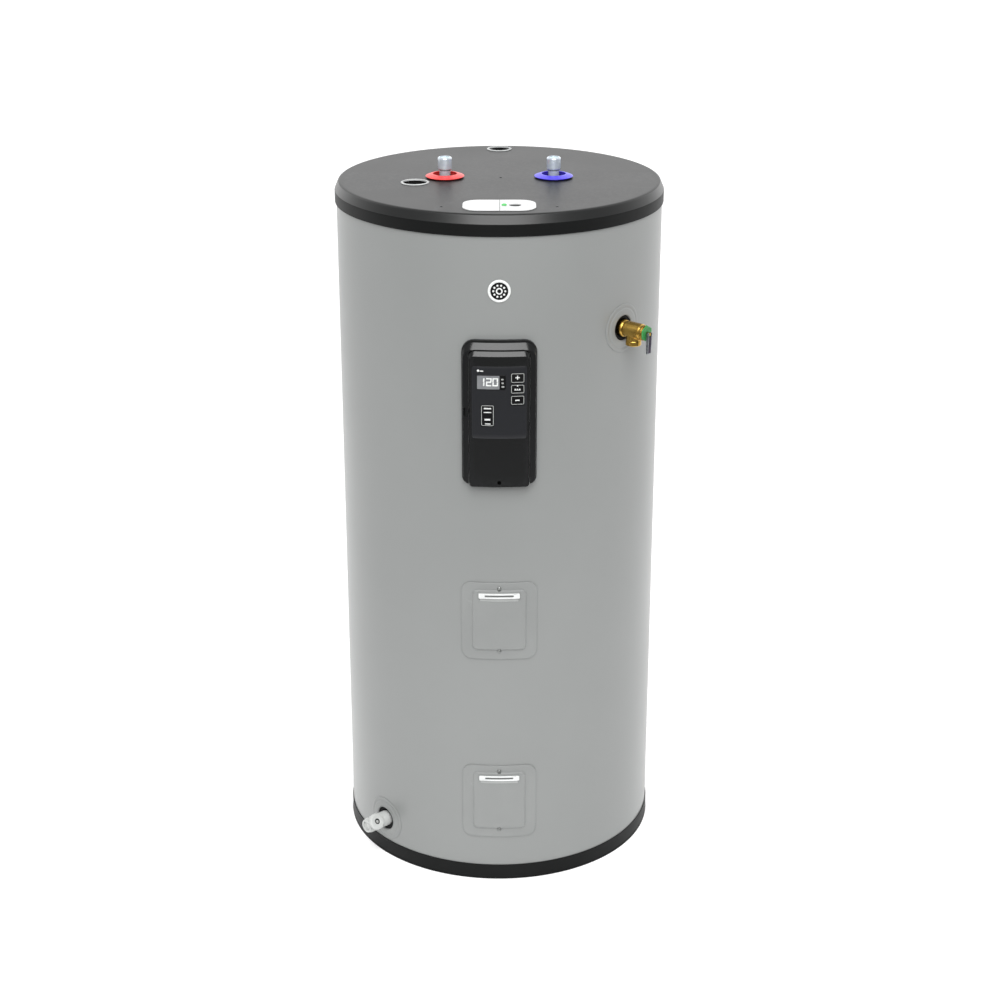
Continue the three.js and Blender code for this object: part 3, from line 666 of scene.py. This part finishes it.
def block(name, x0, y0, x1, y1, z0, z1):
    # upright block: prism over a rectangle whose corners are barely round
    ring = outline(x0, y0, x1, y1, 0.2, corner=2, side=0)
    return form(name, (prismPoints(ring, z0, z1), False, True))


screwSpot = middleOf("ground_screw")
for node, x0, x1 in (("junction_cover", plateLook["split"] - plateLook["gap"], 90),
                     ("conduit_plate", -90, plateLook["split"] + plateLook["gap"])):
    piece = form(node, plateGrid(shape, plateLayers, onTop))
    tools = [block("saw", x0, boxMiddle - 60, x1, boxMiddle + 60, topZ - 5, topZ + 9)]
    if node == "conduit_plate":
        tools.append(drill(*plateLook["knockOut"], topZ - 5, topZ + 9))
        tools += [drill(x, y, plateLook["dimple"], topZ - 5, topZ + 9, 20) for x, y in plateLook["dimples"]]
    else:
        tools.append(drill(*plateLook["pip"], topZ - 5, topZ + 9, 16))
    carve(piece, tools)
    softenEdges(piece, 0.25)
    stand(node, node + "_pressed", piece, paints["plateWhite"])


def screwHead(name, place, r, height, tip, drive="slot"):
    # domed head on a shank; the drive is cut into the head
    profile = [(0, -tip, 0), (r * 0.2, -tip, 0), (r * 0.42, -tip + 2.5, 0.3), (r * 0.42, 0, 0.2),
               (r, 0, 0.15 * r), (r, height * 0.45, 0.3 * r), (r * 0.55, height, 0.4 * r), (0, height, 0)]
    piece = form(name, turnedGrid(profile, seg=32, place=place))
    wide = r * 0.7
    thin = 0.13 * r
    arms = [(-wide, -thin, wide, thin), (-thin, -wide, thin, wide)]
    tools = []
    for x0, y0, x1, y1 in arms if drive == "cross" else arms[:1]:
        ring = outline(x0, y0, x1, y1, 0.05, corner=2, side=0)
        tools.append(form("drive", (place(prismPoints(ring, height * 0.45, height + 2)), False, True)))
    return carve(piece, tools)


ground = screwHead("ground", shiftTo(screwSpot[0], screwSpot[1], topZ + 2.45), 5.0, 2.7, 14)
stand("ground_screw", "earth_screw", ground, paints["greenScrew"])
print("top fittings ready")

# badge: raised rim, dark field with a plain ring of studs
badgeLow, badgeHigh = boxOf("round_badge")
badgeZ = (badgeLow[2] + badgeHigh[2]) / 2
badgeR = badgeHigh[0]
badgeLook = {"studs": 10, "studRing": 10.5}


def bentDisc(profile, closed=False, seg=72, z=badgeZ, steps=5, x=0.0):
    # turned shape laid on the jacket: x sideways, z up, and its height added to the jacket's radius
    line = softCorners(profile, closed, steps)
    a = np.linspace(0, 2 * pi, seg, endpoint=False)
    xz = np.stack([x + line[:, :1] * np.cos(a), z + line[:, :1] * np.sin(a)], -1)
    return onJacket(xz, line[:, 1][:, None] + 0 * a), closed, True


disc = [(0, 0.45, 0), (badgeR, 0.45, 0.1), (badgeR, 1.4, 0.5), (badgeR - 1.2, 2.0, 0.6),
        (badgeR - 3.4, 2.0, 0.5), (badgeR - 4.2, 1.5, 0.4), (badgeR * 0.6, 1.5, 0),
        (badgeR * 0.3, 1.5, 0), (0, 1.5, 0)]
badge = form("badge", bentDisc(disc))
stand("round_badge", "badge_disc", badge, paints["printLight"])
field = [(0, 1.45, 0), (badgeR - 4.6, 1.45, 0), (badgeR - 4.6, 1.62, 0.05), (badgeR * 0.5, 1.62, 0),
         (0, 1.62, 0)]
settle(form("badge_field", bentDisc(field)), "tank", paints["keyBlack"], "badge")
studAngle = np.arange(badgeLook["studs"]) * 2 * pi / badgeLook["studs"]
petal = [(0, 1.6, 0), (1.9, 1.6, 0), (1.9, 1.85, 0.2), (1.0, 1.95, 0.2), (0, 1.95, 0)]
ringR = badgeLook["studRing"]
studs = [bentDisc(petal, seg=16, x=ringR * np.cos(a), z=badgeZ + ringR * np.sin(a), steps=3)
         for a in studAngle]
hub = [(3.6, 1.6, 0), (6.0, 1.6, 0), (6.0, 1.9, 0.2), (3.6, 1.9, 0.2)]
studs.append(bentDisc(hub, True, 40, steps=3))
settle(form("badge_studs", *studs), "tank", paints["printLight"], "badge")

# control panel
bezelLow, bezelHigh = boxOf("control_bezel")
coverLow, coverHigh = boxOf("control_cover")
panelLook = {"bezelDrop": 4, "bezelFlat": 6.6, "bezelFace": 11.8, "bezelSlope": (5.0, 17.5),
             "coverLift": 2, "coverRound": 13, "coverFlat": 13.0, "coverFace": 16.7,
             "coverSlope": (1.3, 9.6), "gap": 1.4, "notch": (3.2, 960.5, 11.2, 977.5),
             "hollow": (-50, 850, 50, 1076, 8),
             "screwFoot": 14.0, "keyRound": 2.8}
p = panelLook
bezelShape = (bezelLow[0], bezelLow[2] - p["bezelDrop"], bezelHigh[0], bezelHigh[2])
start, end = p["bezelSlope"]
bezelRows = [(0, 0, 0, 15, 24, 0.4), (0, 0, 0, 15, 24, p["bezelFlat"] - 1.0),
             (0.8, 0.8, 0.8, 14, 23, p["bezelFlat"]), (1.3, start, 1.3, 14, 21, p["bezelFlat"]),
             (2.4, end, 2.4, 13, 16, p["bezelFace"])]
bezel = form("bezel", ledgeGrid(bezelShape, bezelRows))
coverShape = (coverLow[0], coverLow[2] + p["coverLift"], coverHigh[0], coverHigh[2])
start, end = p["coverSlope"]
coverRows = [(0, 0, 0, 5, 13, 1.2), (0, 0, 0, 5, 13, p["coverFlat"] - 0.8),
             (0.6, 0.6, 0.6, 4.5, 12.4, p["coverFlat"]), (0.9, start, 0.9, 4.5, 10, p["coverFlat"]),
             (1.5, end, 1.5, 4, 7, p["coverFace"])]
room = (coverLow[0] - p["gap"], coverLow[2] - 30, coverHigh[0] + p["gap"], coverHigh[2] + 1.3,
        p["coverRound"])
left, foot, right, head = p["notch"]
notch = (bezelLow[0] + left, foot, bezelLow[0] + right, head, 1)
bezelTools = [form("room", plateGrid(shape, [(0, low), (0, 40)], side=14))
              for shape, low in ((room, -12), (notch, 5.4))]
carve(bezel, bezelTools, sharp=20)
softenEdges(bezel, 0.5)
stand("control_bezel", "panel_bezel", bezel, paints["blackMoulded"])

cover = form("cover", ledgeGrid(coverShape, coverRows))
keyNodes = ["plus_button", "enter_button", "minus_button", "mode_button"]
faces = {}
for node in keyNodes + ["display_window"]:
    lo, hi = boxOf(node)
    faces[node] = (lo[0], lo[2], hi[0], hi[2], p["keyRound"])
wider = [(x0 - 0.4, z0 - 0.4, x1 + 0.4, z1 + 0.4, r) for x0, z0, x1, z1, r in faces.values()]
wells = [form("well", plateGrid(around, [(0, -20), (0, 30)], corner=5, side=4)) for around in wider]
coverScrewZ = middleOf("control_cover_screw")[2]
wellFoot = jacketR + p["screwFoot"]
screwWell = turnedGrid([(0, wellFoot, 0), (3.7, wellFoot, 0), (3.7, 340, 0), (0, 340, 0)], seg=32,
                       place=radialPlace(0, coverScrewZ))
hollow = plateGrid(p["hollow"], [(0, -8), (0, 13)], side=14)
wells.append(form("hollow", hollow))
wells.append(form("screwWell", screwWell))
carve(cover, wells, sharp=20)
softenEdges(cover, 0.35)
stand("control_cover", "panel_cover", cover, paints["blackMoulded"])
atScrew = outFrom(radialPlace(0, coverScrewZ), jacketR + 14.2)
coverScrew = screwHead("coverScrew", atScrew, 3.2, 1.7, 8, "cross")
stand("control_cover_screw", "panel_screw", coverScrew, paints["blackScrewAndPaintedHoleShade"])

filmLow, filmHigh = boxOf("keypad_overlay")
filmShape = (filmLow[0] + 2, filmLow[2], filmHigh[0] - 2, filmHigh[2], 4)
film = form("film", plateGrid(filmShape, [(0, 16.95), (0, 17.15), (0.2, 17.25)], side=20))
windows = [form("window", plateGrid(around, [(0, 10), (0, 30)], corner=5, side=4)) for around in wider]
carve(film, windows)
stand("keypad_overlay", "keypad_film", film, paints["keypadFilm"])

keyFace, keyFoot = 17.7, 1.6
for node in keyNodes:
    x0, z0, x1, z1, r = faces[node]
    keyLayers = [(0, 7.7), (0, keyFace - 0.35), (0.15, keyFace - 0.1), (0.45, keyFace)]
    key = form(node, plateGrid(faces[node], keyLayers, corner=6, side=6))
    stand(node, node + "_face", key, paints["keyBlack"])
    # printed frame: a ring between two outlines, just proud of the key
    loops = [outline(x0, z0 + keyFoot, x1, z1, r, inset, corner=6, side=8)
             for inset in (0.4, 0.4, 1.4, 1.4)]
    high = np.array([keyFace - 0.05, keyFace + 0.06, keyFace + 0.06, keyFace - 0.05])[:, None]
    ring = (onJacket(np.array(loops), high), True, True)
    settle(form(node + "_frame", ring), bodyOf[node], paints["printGrey"], slotOf[node])

marks = {
    "plus_button": [(28.6, 1036.4, 36.4, 1038.2, 0), (31.6, 1033.6, 33.4, 1041.0, 0)],
    "minus_button": [(28.4, 994.0, 36.4, 996.2, 0)],
    "enter_button": [(27.0, 1013.8, 38.0, 1014.8, 0), (27.4, 1014.8, 29.4, 1016.8, 0),
                     (31.2, 1014.8, 33.2, 1016.8, 0), (35.4, 1014.8, 37.4, 1016.8, 0),
                     (31.4, 1021.0, 33.6, 1023.0, 0)],
    "mode_button": [(-27.6, 978.6, -14.6, 981.0, 0), (-27.8, 971.6, -14.4, 973.4, 0),
                    (-26.4, 957.4, -16.0, 960.6, 0), (-25.6, 950.0, -15.6, 951.8, 0)],
}
for node, rows in marks.items():
    name = node + "_mark"
    mark = form(name, *bars(rows, keyFace - 0.05, keyFace + 0.07))
    settle(mark, bodyOf[node], paints["printLight"], slotOf[node])

# display: pale field with seven-bar figures, dark strip with three marks beside it
x0, z0, x1, z1, _ = faces["display_window"]
glassLayers = [(0, 13.8), (0, 16.9), (0.3, 17.1)]
glass = form("glass", plateGrid((x0, z0, x1, z1, 2.4), glassLayers, side=14))
stand("display_window", "display_glass", glass, paints["keyBlack"])
fieldGrid = plateGrid((x0 + 0.6, z0 + 0.9, 0.4, z1 - 0.9, 1.2), [(0, 17.05), (0, 17.25)], corner=4, side=10)
settle(form("display_field", fieldGrid), "tank", paints["displayGlass"], "display")
figures = {"left": [-36.6, -23.8, -12.4], "lit": ["bc", "abged", "abcdef"], "wide": 10.0, "tall": 15.2,
           "bar": 2.3, "foot": 1021.6}


def segments(x, lit):
    # seven-bar figure: three level bars and four upright ones around them, leaning a little
    w, h, b, z = figures["wide"], figures["tall"], figures["bar"], figures["foot"]
    half = h / 2
    every = {
        "a": (x + 0.5, z + h - b, x + w - 0.5, z + h, 0),
        "g": (x + 0.6, z + half - b / 2, x + w - 0.6, z + half + b / 2, 0),
        "d": (x + 0.5, z, x + w - 0.5, z + b, 0), "f": (x, z + half + 0.3, x + b, z + h - 0.4, 0.4),
        "b": (x + w - b, z + half + 0.3, x + w, z + h - 0.4, 0.4),
        "e": (x, z + 0.4, x + b, z + half - 0.3, 0.4),
        "c": (x + w - b, z + 0.4, x + w, z + half - 0.3, 0.4)}
    return [every[k] for k in lit]


figureRows = [row for x, lit in zip(figures["left"], figures["lit"]) for row in segments(x, lit)]
settle(form("display_figures", *bars(figureRows, 17.2, 17.35)), "tank", paints["printLight"], "display")
stripRows = [(3.4, 1033.0, 7.4, 1035.4, 0), (4.6, 1026.0, 8.4, 1028.6, -1.2), (4.0, 1019.4, 9.0, 1021.8, 0)]
settle(form("display_strip_marks", *bars(stripRows, 17.05, 17.3)), "tank", paints["printGrey"], "display")
dot = [(0, 17.2, 0), (2.2, 17.2, 0), (2.2, 17.4, 0.1), (0, 17.4, 0)]
lamp = [bentDisc(dot, seg=24, x=-37.6, z=1050.1, steps=3)] + bars([(-34.2, 1048.6, -28.6, 1050.4, 0)],
                                                                  17.2, 17.35)
settle(form("panel_lamp", *lamp), "tank", paints["printLight"], "overlay")
print("control panel ready")

# access covers
accessLook = {"round": 19, "raised": (-51, -58.5, 51, 64.6, 9), "hood": (-39.5, 48.0, 39.5, 60.6, 3.2),
              "slot": (-27.0, 52.6, 27.0, 56.0, 1.6), "lipEdge": (-39.3, 48.2, 39.3, 60.4, 3.0),
              "lipSlot": (-27.2, 52.4, 27.2, 56.2, 1.7), "apron": (-35.5, 42.6, 35.5, 48.3, 1.2),
              "screws": {"top": 67.1, "bottom": -60.3}, "screwFoot": 2.6}
accessLayers = {"base": [(0, 0.4), (0, 1.4), (0.5, 2.1), (1.4, 2.5), (5.5, 2.7)],
                "raised": [(0, 1.5), (0.4, 3.2), (2.2, 5.4), (4.2, 6.0)],
                "hood": [(0, 4.5), (0, 8.0), (0.4, 8.7), (1.1, 9.1)], "slot": [(0, 6.6), (0, 20)],
                "apron": [(0, 5.8), (0, 6.3), (0.3, 6.6)]}
wellFoot = jacketR + accessLook["screwFoot"]
wellProfile = [(0, wellFoot, 0), (4.6, wellFoot, 0), (5.4, jacketR + 7, 0), (5.4, 340, 0), (0, 340, 0)]


def accessShape(key, z):
    # rounded rectangle of the cover's dictionary, moved up to the cover's middle
    x0, z0, x1, z1, r = accessLook[key]
    return x0, z + z0, x1, z + z1, r


def accessPlate(key, z):
    # the rectangle drawn in layer by layer
    return form(key, plateGrid(accessShape(key, z), accessLayers[key], side=14))


for node in ("middle_access_cover", "lower_access_cover"):
    lo, hi = boxOf(node)
    z = (lo[2] + hi[2]) / 2
    part = node.split("_")[0]
    shape = (lo[0], lo[2], hi[0], hi[2], accessLook["round"])
    base = form(node, plateGrid(shape, accessLayers["base"], side=16))
    for key in ("raised", "hood"):
        carve(base, [accessPlate(key, z)], "UNION")
    screws = {end: z + height for end, height in accessLook["screws"].items()}
    tools = [accessPlate("slot", z)]
    tools += [form("well", turnedGrid(wellProfile, seg=32, place=radialPlace(0, spot)))
              for spot in screws.values()]
    carve(base, tools)
    softenEdges(base, 0.4)
    stand(node, node + "_moulded", base, paints["coverGrey"])
    # painted highlight: the hood's front face, from its outer edge in to the slot, painted pale
    loops = [outline(*accessShape("lipEdge", z), inset, corner=6, side=14) for inset in (0.3, 0.9)]
    loops += [outline(*accessShape("lipSlot", z), inset, corner=6, side=14) for inset in (0.0, 0.2)]
    lipHigh = np.array([8.2, 9.15, 9.15, 8.2])[:, None]
    lip = form(part + "_hood_lip", (onJacket(np.array(loops), lipHigh), True, True))
    settle(lip, "tank", paints["lipPaintedHighlight"], slotOf[node])
    # painted highlight: the apron under the hood is painted lighter than the cover
    apron = accessPlate("apron", z)
    apron.name = part + "_hood_apron"
    settle(apron, "tank", paints["apronPaintedHighlight"], slotOf[node])
    for end, spot in screws.items():
        atScrew = outFrom(radialPlace(0, spot), jacketR + 2.9)
        head = screwHead("head", atScrew, 3.9, 2.2, 12, "cross")
        stand(f"{part}_cover_{end}_screw", f"{part}_{end}_screw", head, paints["screwZinc"])
print("access covers ready")

# side ports: pressed rings following the jacket, dark packing inside


def pressedRing(place, profile, seg=120):
    # turned ring whose height is added to the jacket's own curve under each point
    line = softCorners(profile, True, 5)
    a = np.linspace(0, 2 * pi, seg, endpoint=False)
    x = line[:, :1] * np.cos(a)
    y = line[:, :1] * np.sin(a)
    depth = np.sqrt((jacketR + line[:, 1][:, None]) ** 2 - x ** 2)
    return place(np.stack([x, y, depth], -1)), True, True


ringProfile = [(portHole + 0.1, 0.35, 0.1), (44.9, 0.35, 0.2), (44.9, 0.8, 0.3), (43.2, 1.5, 1.0),
               (40.4, 1.6, 0.8), (38.6, 1.1, 0.8), (36.6, 1.1, 0.8), (35.0, 2.0, 1.0), (28.5, 2.5, 1.2),
               (portHole + 1.4, 2.4, 1.0), (portHole + 0.1, 1.2, 0.5)]
packing = [(16.6, -20, 0.5), (23.25, -20, 0.5), (23.25, -0.6, 0.6), (20, -0.9, 1.5), (16.6, -2.4, 1)]
for name, place in ports.items():
    ringPiece = form("ring", pressedRing(place, ringProfile))
    stand(f"{name}_port_ring", f"{name}_pressed_ring", ringPiece, paints["coverGrey"])
    gasket = form("packing", pressedRing(place, packing, 72))
    stand(f"{name}_port_gasket", f"{name}_packing", gasket, paints["packingBlack"])

# relief valve
pivotD = float(np.hypot(reliefPivot[0], reliefPivot[1]))
valve = {"mouth": 27.0, "outlet": pivotD - 35.5, "end": pivotD - 9.4, "body": 15.2, "pipe": 14.3,
         "bore": 10.6}
v = valve
bodyProfile = [(0, 251, 0), (13.2, 251, 0.5), (13.2, 301.5, 1), (15.2, 304.5, 1.5), (16.3, 308, 2.4),
               (15.4, 311.5, 1.2), (14.2, 312.6, 0.5), (14.2, 313.8, 0.5), (v["body"], 315.2, 1),
               (v["body"], v["end"] - 7.5, 1.6), (14.0, v["end"] - 4.5, 1), (14.0, v["end"], 0.6),
               (12.6, v["end"], 0.2), (12.6, v["end"] + 2.2, 0.2), (3.4, v["end"] + 2.2, 0.2),
               (3.4, v["end"] - 5, 0), (0, v["end"] - 5, 0)]
reliefBody = form("reliefBody", turnedGrid(bodyProfile, seg=72, place=reliefPlace))


def downward(points):
    # drawn with Z down the outlet: Z becomes minus Y, Y becomes Z shifted to the outlet's distance
    return reliefPlace(np.stack([points[..., 0], -points[..., 2], points[..., 1] + v["outlet"]], -1))


mouth = v["mouth"]
pipe = [(0, -1, 0), (13.4, -1, 2), (v["pipe"] - 0.6, 10, 2), (v["pipe"] - 0.6, mouth - 9, 0.8),
        (v["pipe"], mouth - 8, 0.6), (v["pipe"], mouth - 0.8, 0.7), (v["pipe"] - 0.8, mouth, 0.4),
        (v["bore"] + 0.6, mouth, 0.4), (v["bore"], mouth - 1.4, 0.4), (v["bore"], 8, 0.5), (0, 6, 0)]
down = form("down", turnedGrid(pipe, seg=72, place=downward))
carve(reliefBody, [down], "UNION", 40)
boreProfile = [(0, 7, 0), (v["bore"], 7, 0), (v["bore"], 30, 0), (0, 30, 0)]
bore = form("bore", turnedGrid(boreProfile, seg=72, place=downward))
carve(reliefBody, [bore], sharp=40)
softenEdges(reliefBody, 0.5, 2, 40)
stand("relief_valve_body", "relief_body", reliefBody, paints["castBrass"])


def sixFlats(line, angle):
    # radius follows the side of a hexagon, with a share that grows from the middle outwards
    side = np.cos(pi / 6) / np.cos((angle + pi / 6) % (pi / 3) - pi / 6)
    share = np.clip((line[:, 0] - 6) / 9.5, 0, 1)[:, None]
    return line[:, 0][:, None] * (side[None] - 1) * share


capEnd = pivotD - 9
capShape = [(3.6, capEnd + 1.9, 0.2), (15.4, capEnd + 1.9, 0.3), (15.5, capEnd + 2.4, 0.3),
            (15.5, capEnd + 3.8, 0.7), (13.6, capEnd + 4.9, 0.9), (8, capEnd + 4.5, 1),
            (6.5, capEnd + 4.9, 0.6), (3.6, capEnd + 4.9, 0.4)]
greenCap = form("greenCap", turnedGrid(capShape, True, 120, 4, sixFlats, reliefPlace))
stand("relief_cap", "relief_end_cap", greenCap, paints["greenMoulded"])
for node, paint, width in (("relief_lever", "platedSteel", 0.35), ("relief_stem", "castBrass", 0.2),
                           ("relief_lever_pin", "platedSteel", 0.2)):
    stand(node, node + "_fine", fromNode(node, width), paints[paint])
# painted dark reflection on the lever: a thin dark strip on its outer face whose height falls from the pivot to
# the foot
leverFace = {"wide": 2.9, "start": -4.0, "end": -35.5, "top": 2.95, "foot": 1.6, "thick": 0.35}
wide, start, end = leverFace["wide"], leverFace["start"], leverFace["end"]
strip = np.array([[-wide, start], [wide, start], [wide, end], [-wide, end]])
middle = np.repeat(strip.mean(0)[None], 4, 0)
rings = np.array([middle, strip, strip, middle])
slope = (rings[..., 1] - start) / (end - start)
out = pivotD + leverFace["top"] - (leverFace["top"] - leverFace["foot"]) * slope
lift = np.array([-0.6, -0.6, leverFace["thick"], leverFace["thick"]])[:, None]
facePoints = reliefPlace(np.stack([rings[..., 0], rings[..., 1], out + lift], -1))
leverDarkReflection = form("relief_lever_painted_reflection", (facePoints, False, True))
settle(softenEdges(leverDarkReflection, 0.2), bodyOf["relief_lever"], paints["steelPaintedDarkReflection"], "steel")
print("relief valve ready")

# drain valve
drainD = float(np.hypot(drainCentre[0], drainCentre[1]))
lean = atan2(0.8, 0.6)  # a 3-4-5 triangle
tube = drainD + 13.0  # distance of the hose end from the tank's axis


def acrossDrain(points):
    # drawn with Z away from the tube: leaned over towards the front, then set on the tube's axis
    x = points[..., 0] * np.cos(lean) + points[..., 2] * np.sin(lean)
    y = -points[..., 0] * np.sin(lean) + points[..., 2] * np.cos(lean)
    return drainPlace(np.stack([x, y, points[..., 1] + drainD], -1))


drainProfile = [(0, 251, 0), (13.2, 251, 0.5), (13.2, 300, 1), (15, 301.5, 0.8), (15, tube - 6.4, 0.6),
                (12.6, tube - 5.8, 0.3), (12.6, tube - 4.6, 0.2), (13.4, tube - 4.1, 0.3),
                (13.4, tube - 3.2, 0.3), (12.7, tube - 2.7, 0.3), (13.4, tube - 2.1, 0.3),
                (13.4, tube - 1, 0.4), (12.5, tube, 0.4), (9.6, tube, 0.4), (9.4, tube - 1, 0.3),
                (9.4, tube - 3.4, 0.4), (7.4, tube - 3.4, 0.3), (7.0, tube - 2.8, 0.3),
                (5.2, tube - 2.8, 0.3), (4.6, tube - 3.6, 0.3), (0, tube - 3.8, 0)]
drainBody = form("drainBody", turnedGrid(drainProfile, seg=72, place=drainPlace))
bossProfile = [(0, 0, 0), (11, 0, 0), (11, 15.6, 0.8), (9.4, 16.4, 0.6), (3.4, 16.4, 0.2), (3.4, 11, 0),
               (0, 11, 0)]
boss = form("boss", turnedGrid(bossProfile, seg=64, place=acrossDrain))
carve(drainBody, [boss], "UNION", 40)
softenEdges(drainBody, 0.4, 2, 40)
stand("drain_valve_body", "drain_body", drainBody, paints["valveWhite"])


def knobFlutes(line, angle):
    # eighteen shallow flutes round the rim: half a millimetre times the sixth power of the cosine
    return -0.5 * np.abs(np.cos(9 * angle))[None] ** 6 * (line[:, 0] > 14)[:, None]


knobShape = [(3.3, 17, 0.2), (14.6, 17, 0.8), (16.3, 18.6, 1.2), (16.3, 24.0, 1.8), (14.2, 26.0, 1.8),
             (6.4, 26.0, 0.8), (5.4, 24.6, 0.5), (3.3, 24.6, 0.2)]
knob = form("knob", turnedGrid(knobShape, True, 108, 6, knobFlutes, acrossDrain))
stand("drain_knob", "drain_handwheel", knob, paints["valveWhite"])
stemShape = [(0, 1.5, 0), (3, 1.5, 0.2), (3, 22.6, 0.5), (1.4, 23.2, 0.4), (1.2, 22.0, 0.2), (0, 22.0, 0)]
stem = form("stem", turnedGrid(stemShape, seg=40, place=acrossDrain))
stand("drain_stem", "drain_spindle", stem, paints["valveWhite"])
# painted shade: a thin near-black ring laid in the knob's face recess
shadeRingShape = [(3.35, 24.4, 0), (5.5, 24.4, 0), (5.5, 24.7, 0.1), (3.35, 24.7, 0.1)]
knobShadeRing = form("knobShadeRing", turnedGrid(shadeRingShape, True, 48, 3, None, acrossDrain))
settle(knobShadeRing, bodyOf["drain_knob"], paints["blackScrewAndPaintedHoleShade"], "rubber_black")
knobShadeRing.name = "drain_handwheel_painted_shade"
print("drain valve ready")

# floor and light
# painted light: the floor glows near the heater and lights it, with painted shade towards the front
floorLook = {"size": 30.0, "cells": 40, "glow": 0.4, "pale": 0.9, "far": 0.16, "fade": (-2.4, -1.0),
             "glowFade": (-2.4, 1.8)}
u = np.linspace(-0.5, 0.5, floorLook["cells"] + 1) * floorLook["size"] / mm
across, along = np.meshgrid(u, u, indexing="ij")
floorPoints = np.stack([across, along, 0 * across], -1)
floor = form("floor", (floorPoints, False, False))
floorPaint = bpy.data.materials.new("floorPaintedGlowAndShade")
floorPaint.use_nodes = True
floorShader = floorPaint.node_tree.nodes["Principled BSDF"]
floorShader.inputs["Roughness"].default_value = 0.9
floorTree = floorPaint.node_tree
spot = floorTree.nodes.new("ShaderNodeTexCoord")
parts = floorTree.nodes.new("ShaderNodeSeparateXYZ")
floorTree.links.new(spot.outputs["Object"], parts.inputs["Vector"])
# painted light and shade on the floor: pale and glowing round the heater, its colour and its glow falling off
# smoothly to painted shade towards the front of the room
for socket, span, far, near in (("Base Color", floorLook["fade"], floorLook["far"], floorLook["pale"]),
                                ("Emission Color", floorLook["glowFade"], 0, floorLook["glow"])):
    fade = floorTree.nodes.new("ShaderNodeMapRange")
    fade.interpolation_type = "SMOOTHSTEP"
    for key, number in zip(("From Min", "From Max", "To Min", "To Max"), (*span, far, near)):
        fade.inputs[key].default_value = number
    floorTree.links.new(parts.outputs["Y"], fade.inputs["Value"])
    floorTree.links.new(fade.outputs["Result"], floorShader.inputs[socket])
floorShader.inputs["Emission Strength"].default_value = 1.0
floor.data.materials.append(floorPaint)
floor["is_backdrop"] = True

# room light: brightness rises with the share of the look that points backwards
roomLook = {"front": 0.42, "back": 1.6, "turn": (-0.1, 0.75)}
world = bpy.data.worlds.new("studio")
bpy.context.scene.world = world
world.use_nodes = True
tree = world.node_tree
where = tree.nodes.new("ShaderNodeTexCoord")
split = tree.nodes.new("ShaderNodeSeparateXYZ")
level = tree.nodes.new("ShaderNodeMapRange")
for key, number in zip(("From Min", "From Max", "To Min", "To Max"),
                       (*roomLook["turn"], roomLook["front"], roomLook["back"])):
    level.inputs[key].default_value = number
tree.links.new(where.outputs["Generated"], split.inputs["Vector"])
tree.links.new(split.outputs["Y"], level.inputs["Value"])
tree.links.new(level.outputs["Result"], tree.nodes["Background"].inputs["Strength"])
tree.nodes["Background"].inputs["Color"].default_value = (1, 1, 1, 1)


def softbox(name, at, aim, width, height, power):
    # oblong area light at one point, turned to face another
    lamp = bpy.data.lights.new(name, "AREA")
    lamp.shape, lamp.size, lamp.size_y, lamp.energy = "RECTANGLE", width, height, power
    thing = bpy.data.objects.new(name, lamp)
    thing.location = at
    thing.rotation_euler = (Vector(aim) - Vector(at)).to_track_quat("-Z", "Y").to_euler()
    bpy.context.scene.collection.objects.link(thing)


softbox("front_softbox", (0, -2.96, 3.82), (0, -0.3, 1.1), 3.4, 3.8, 235)
print("stage ready")

lo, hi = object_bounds()
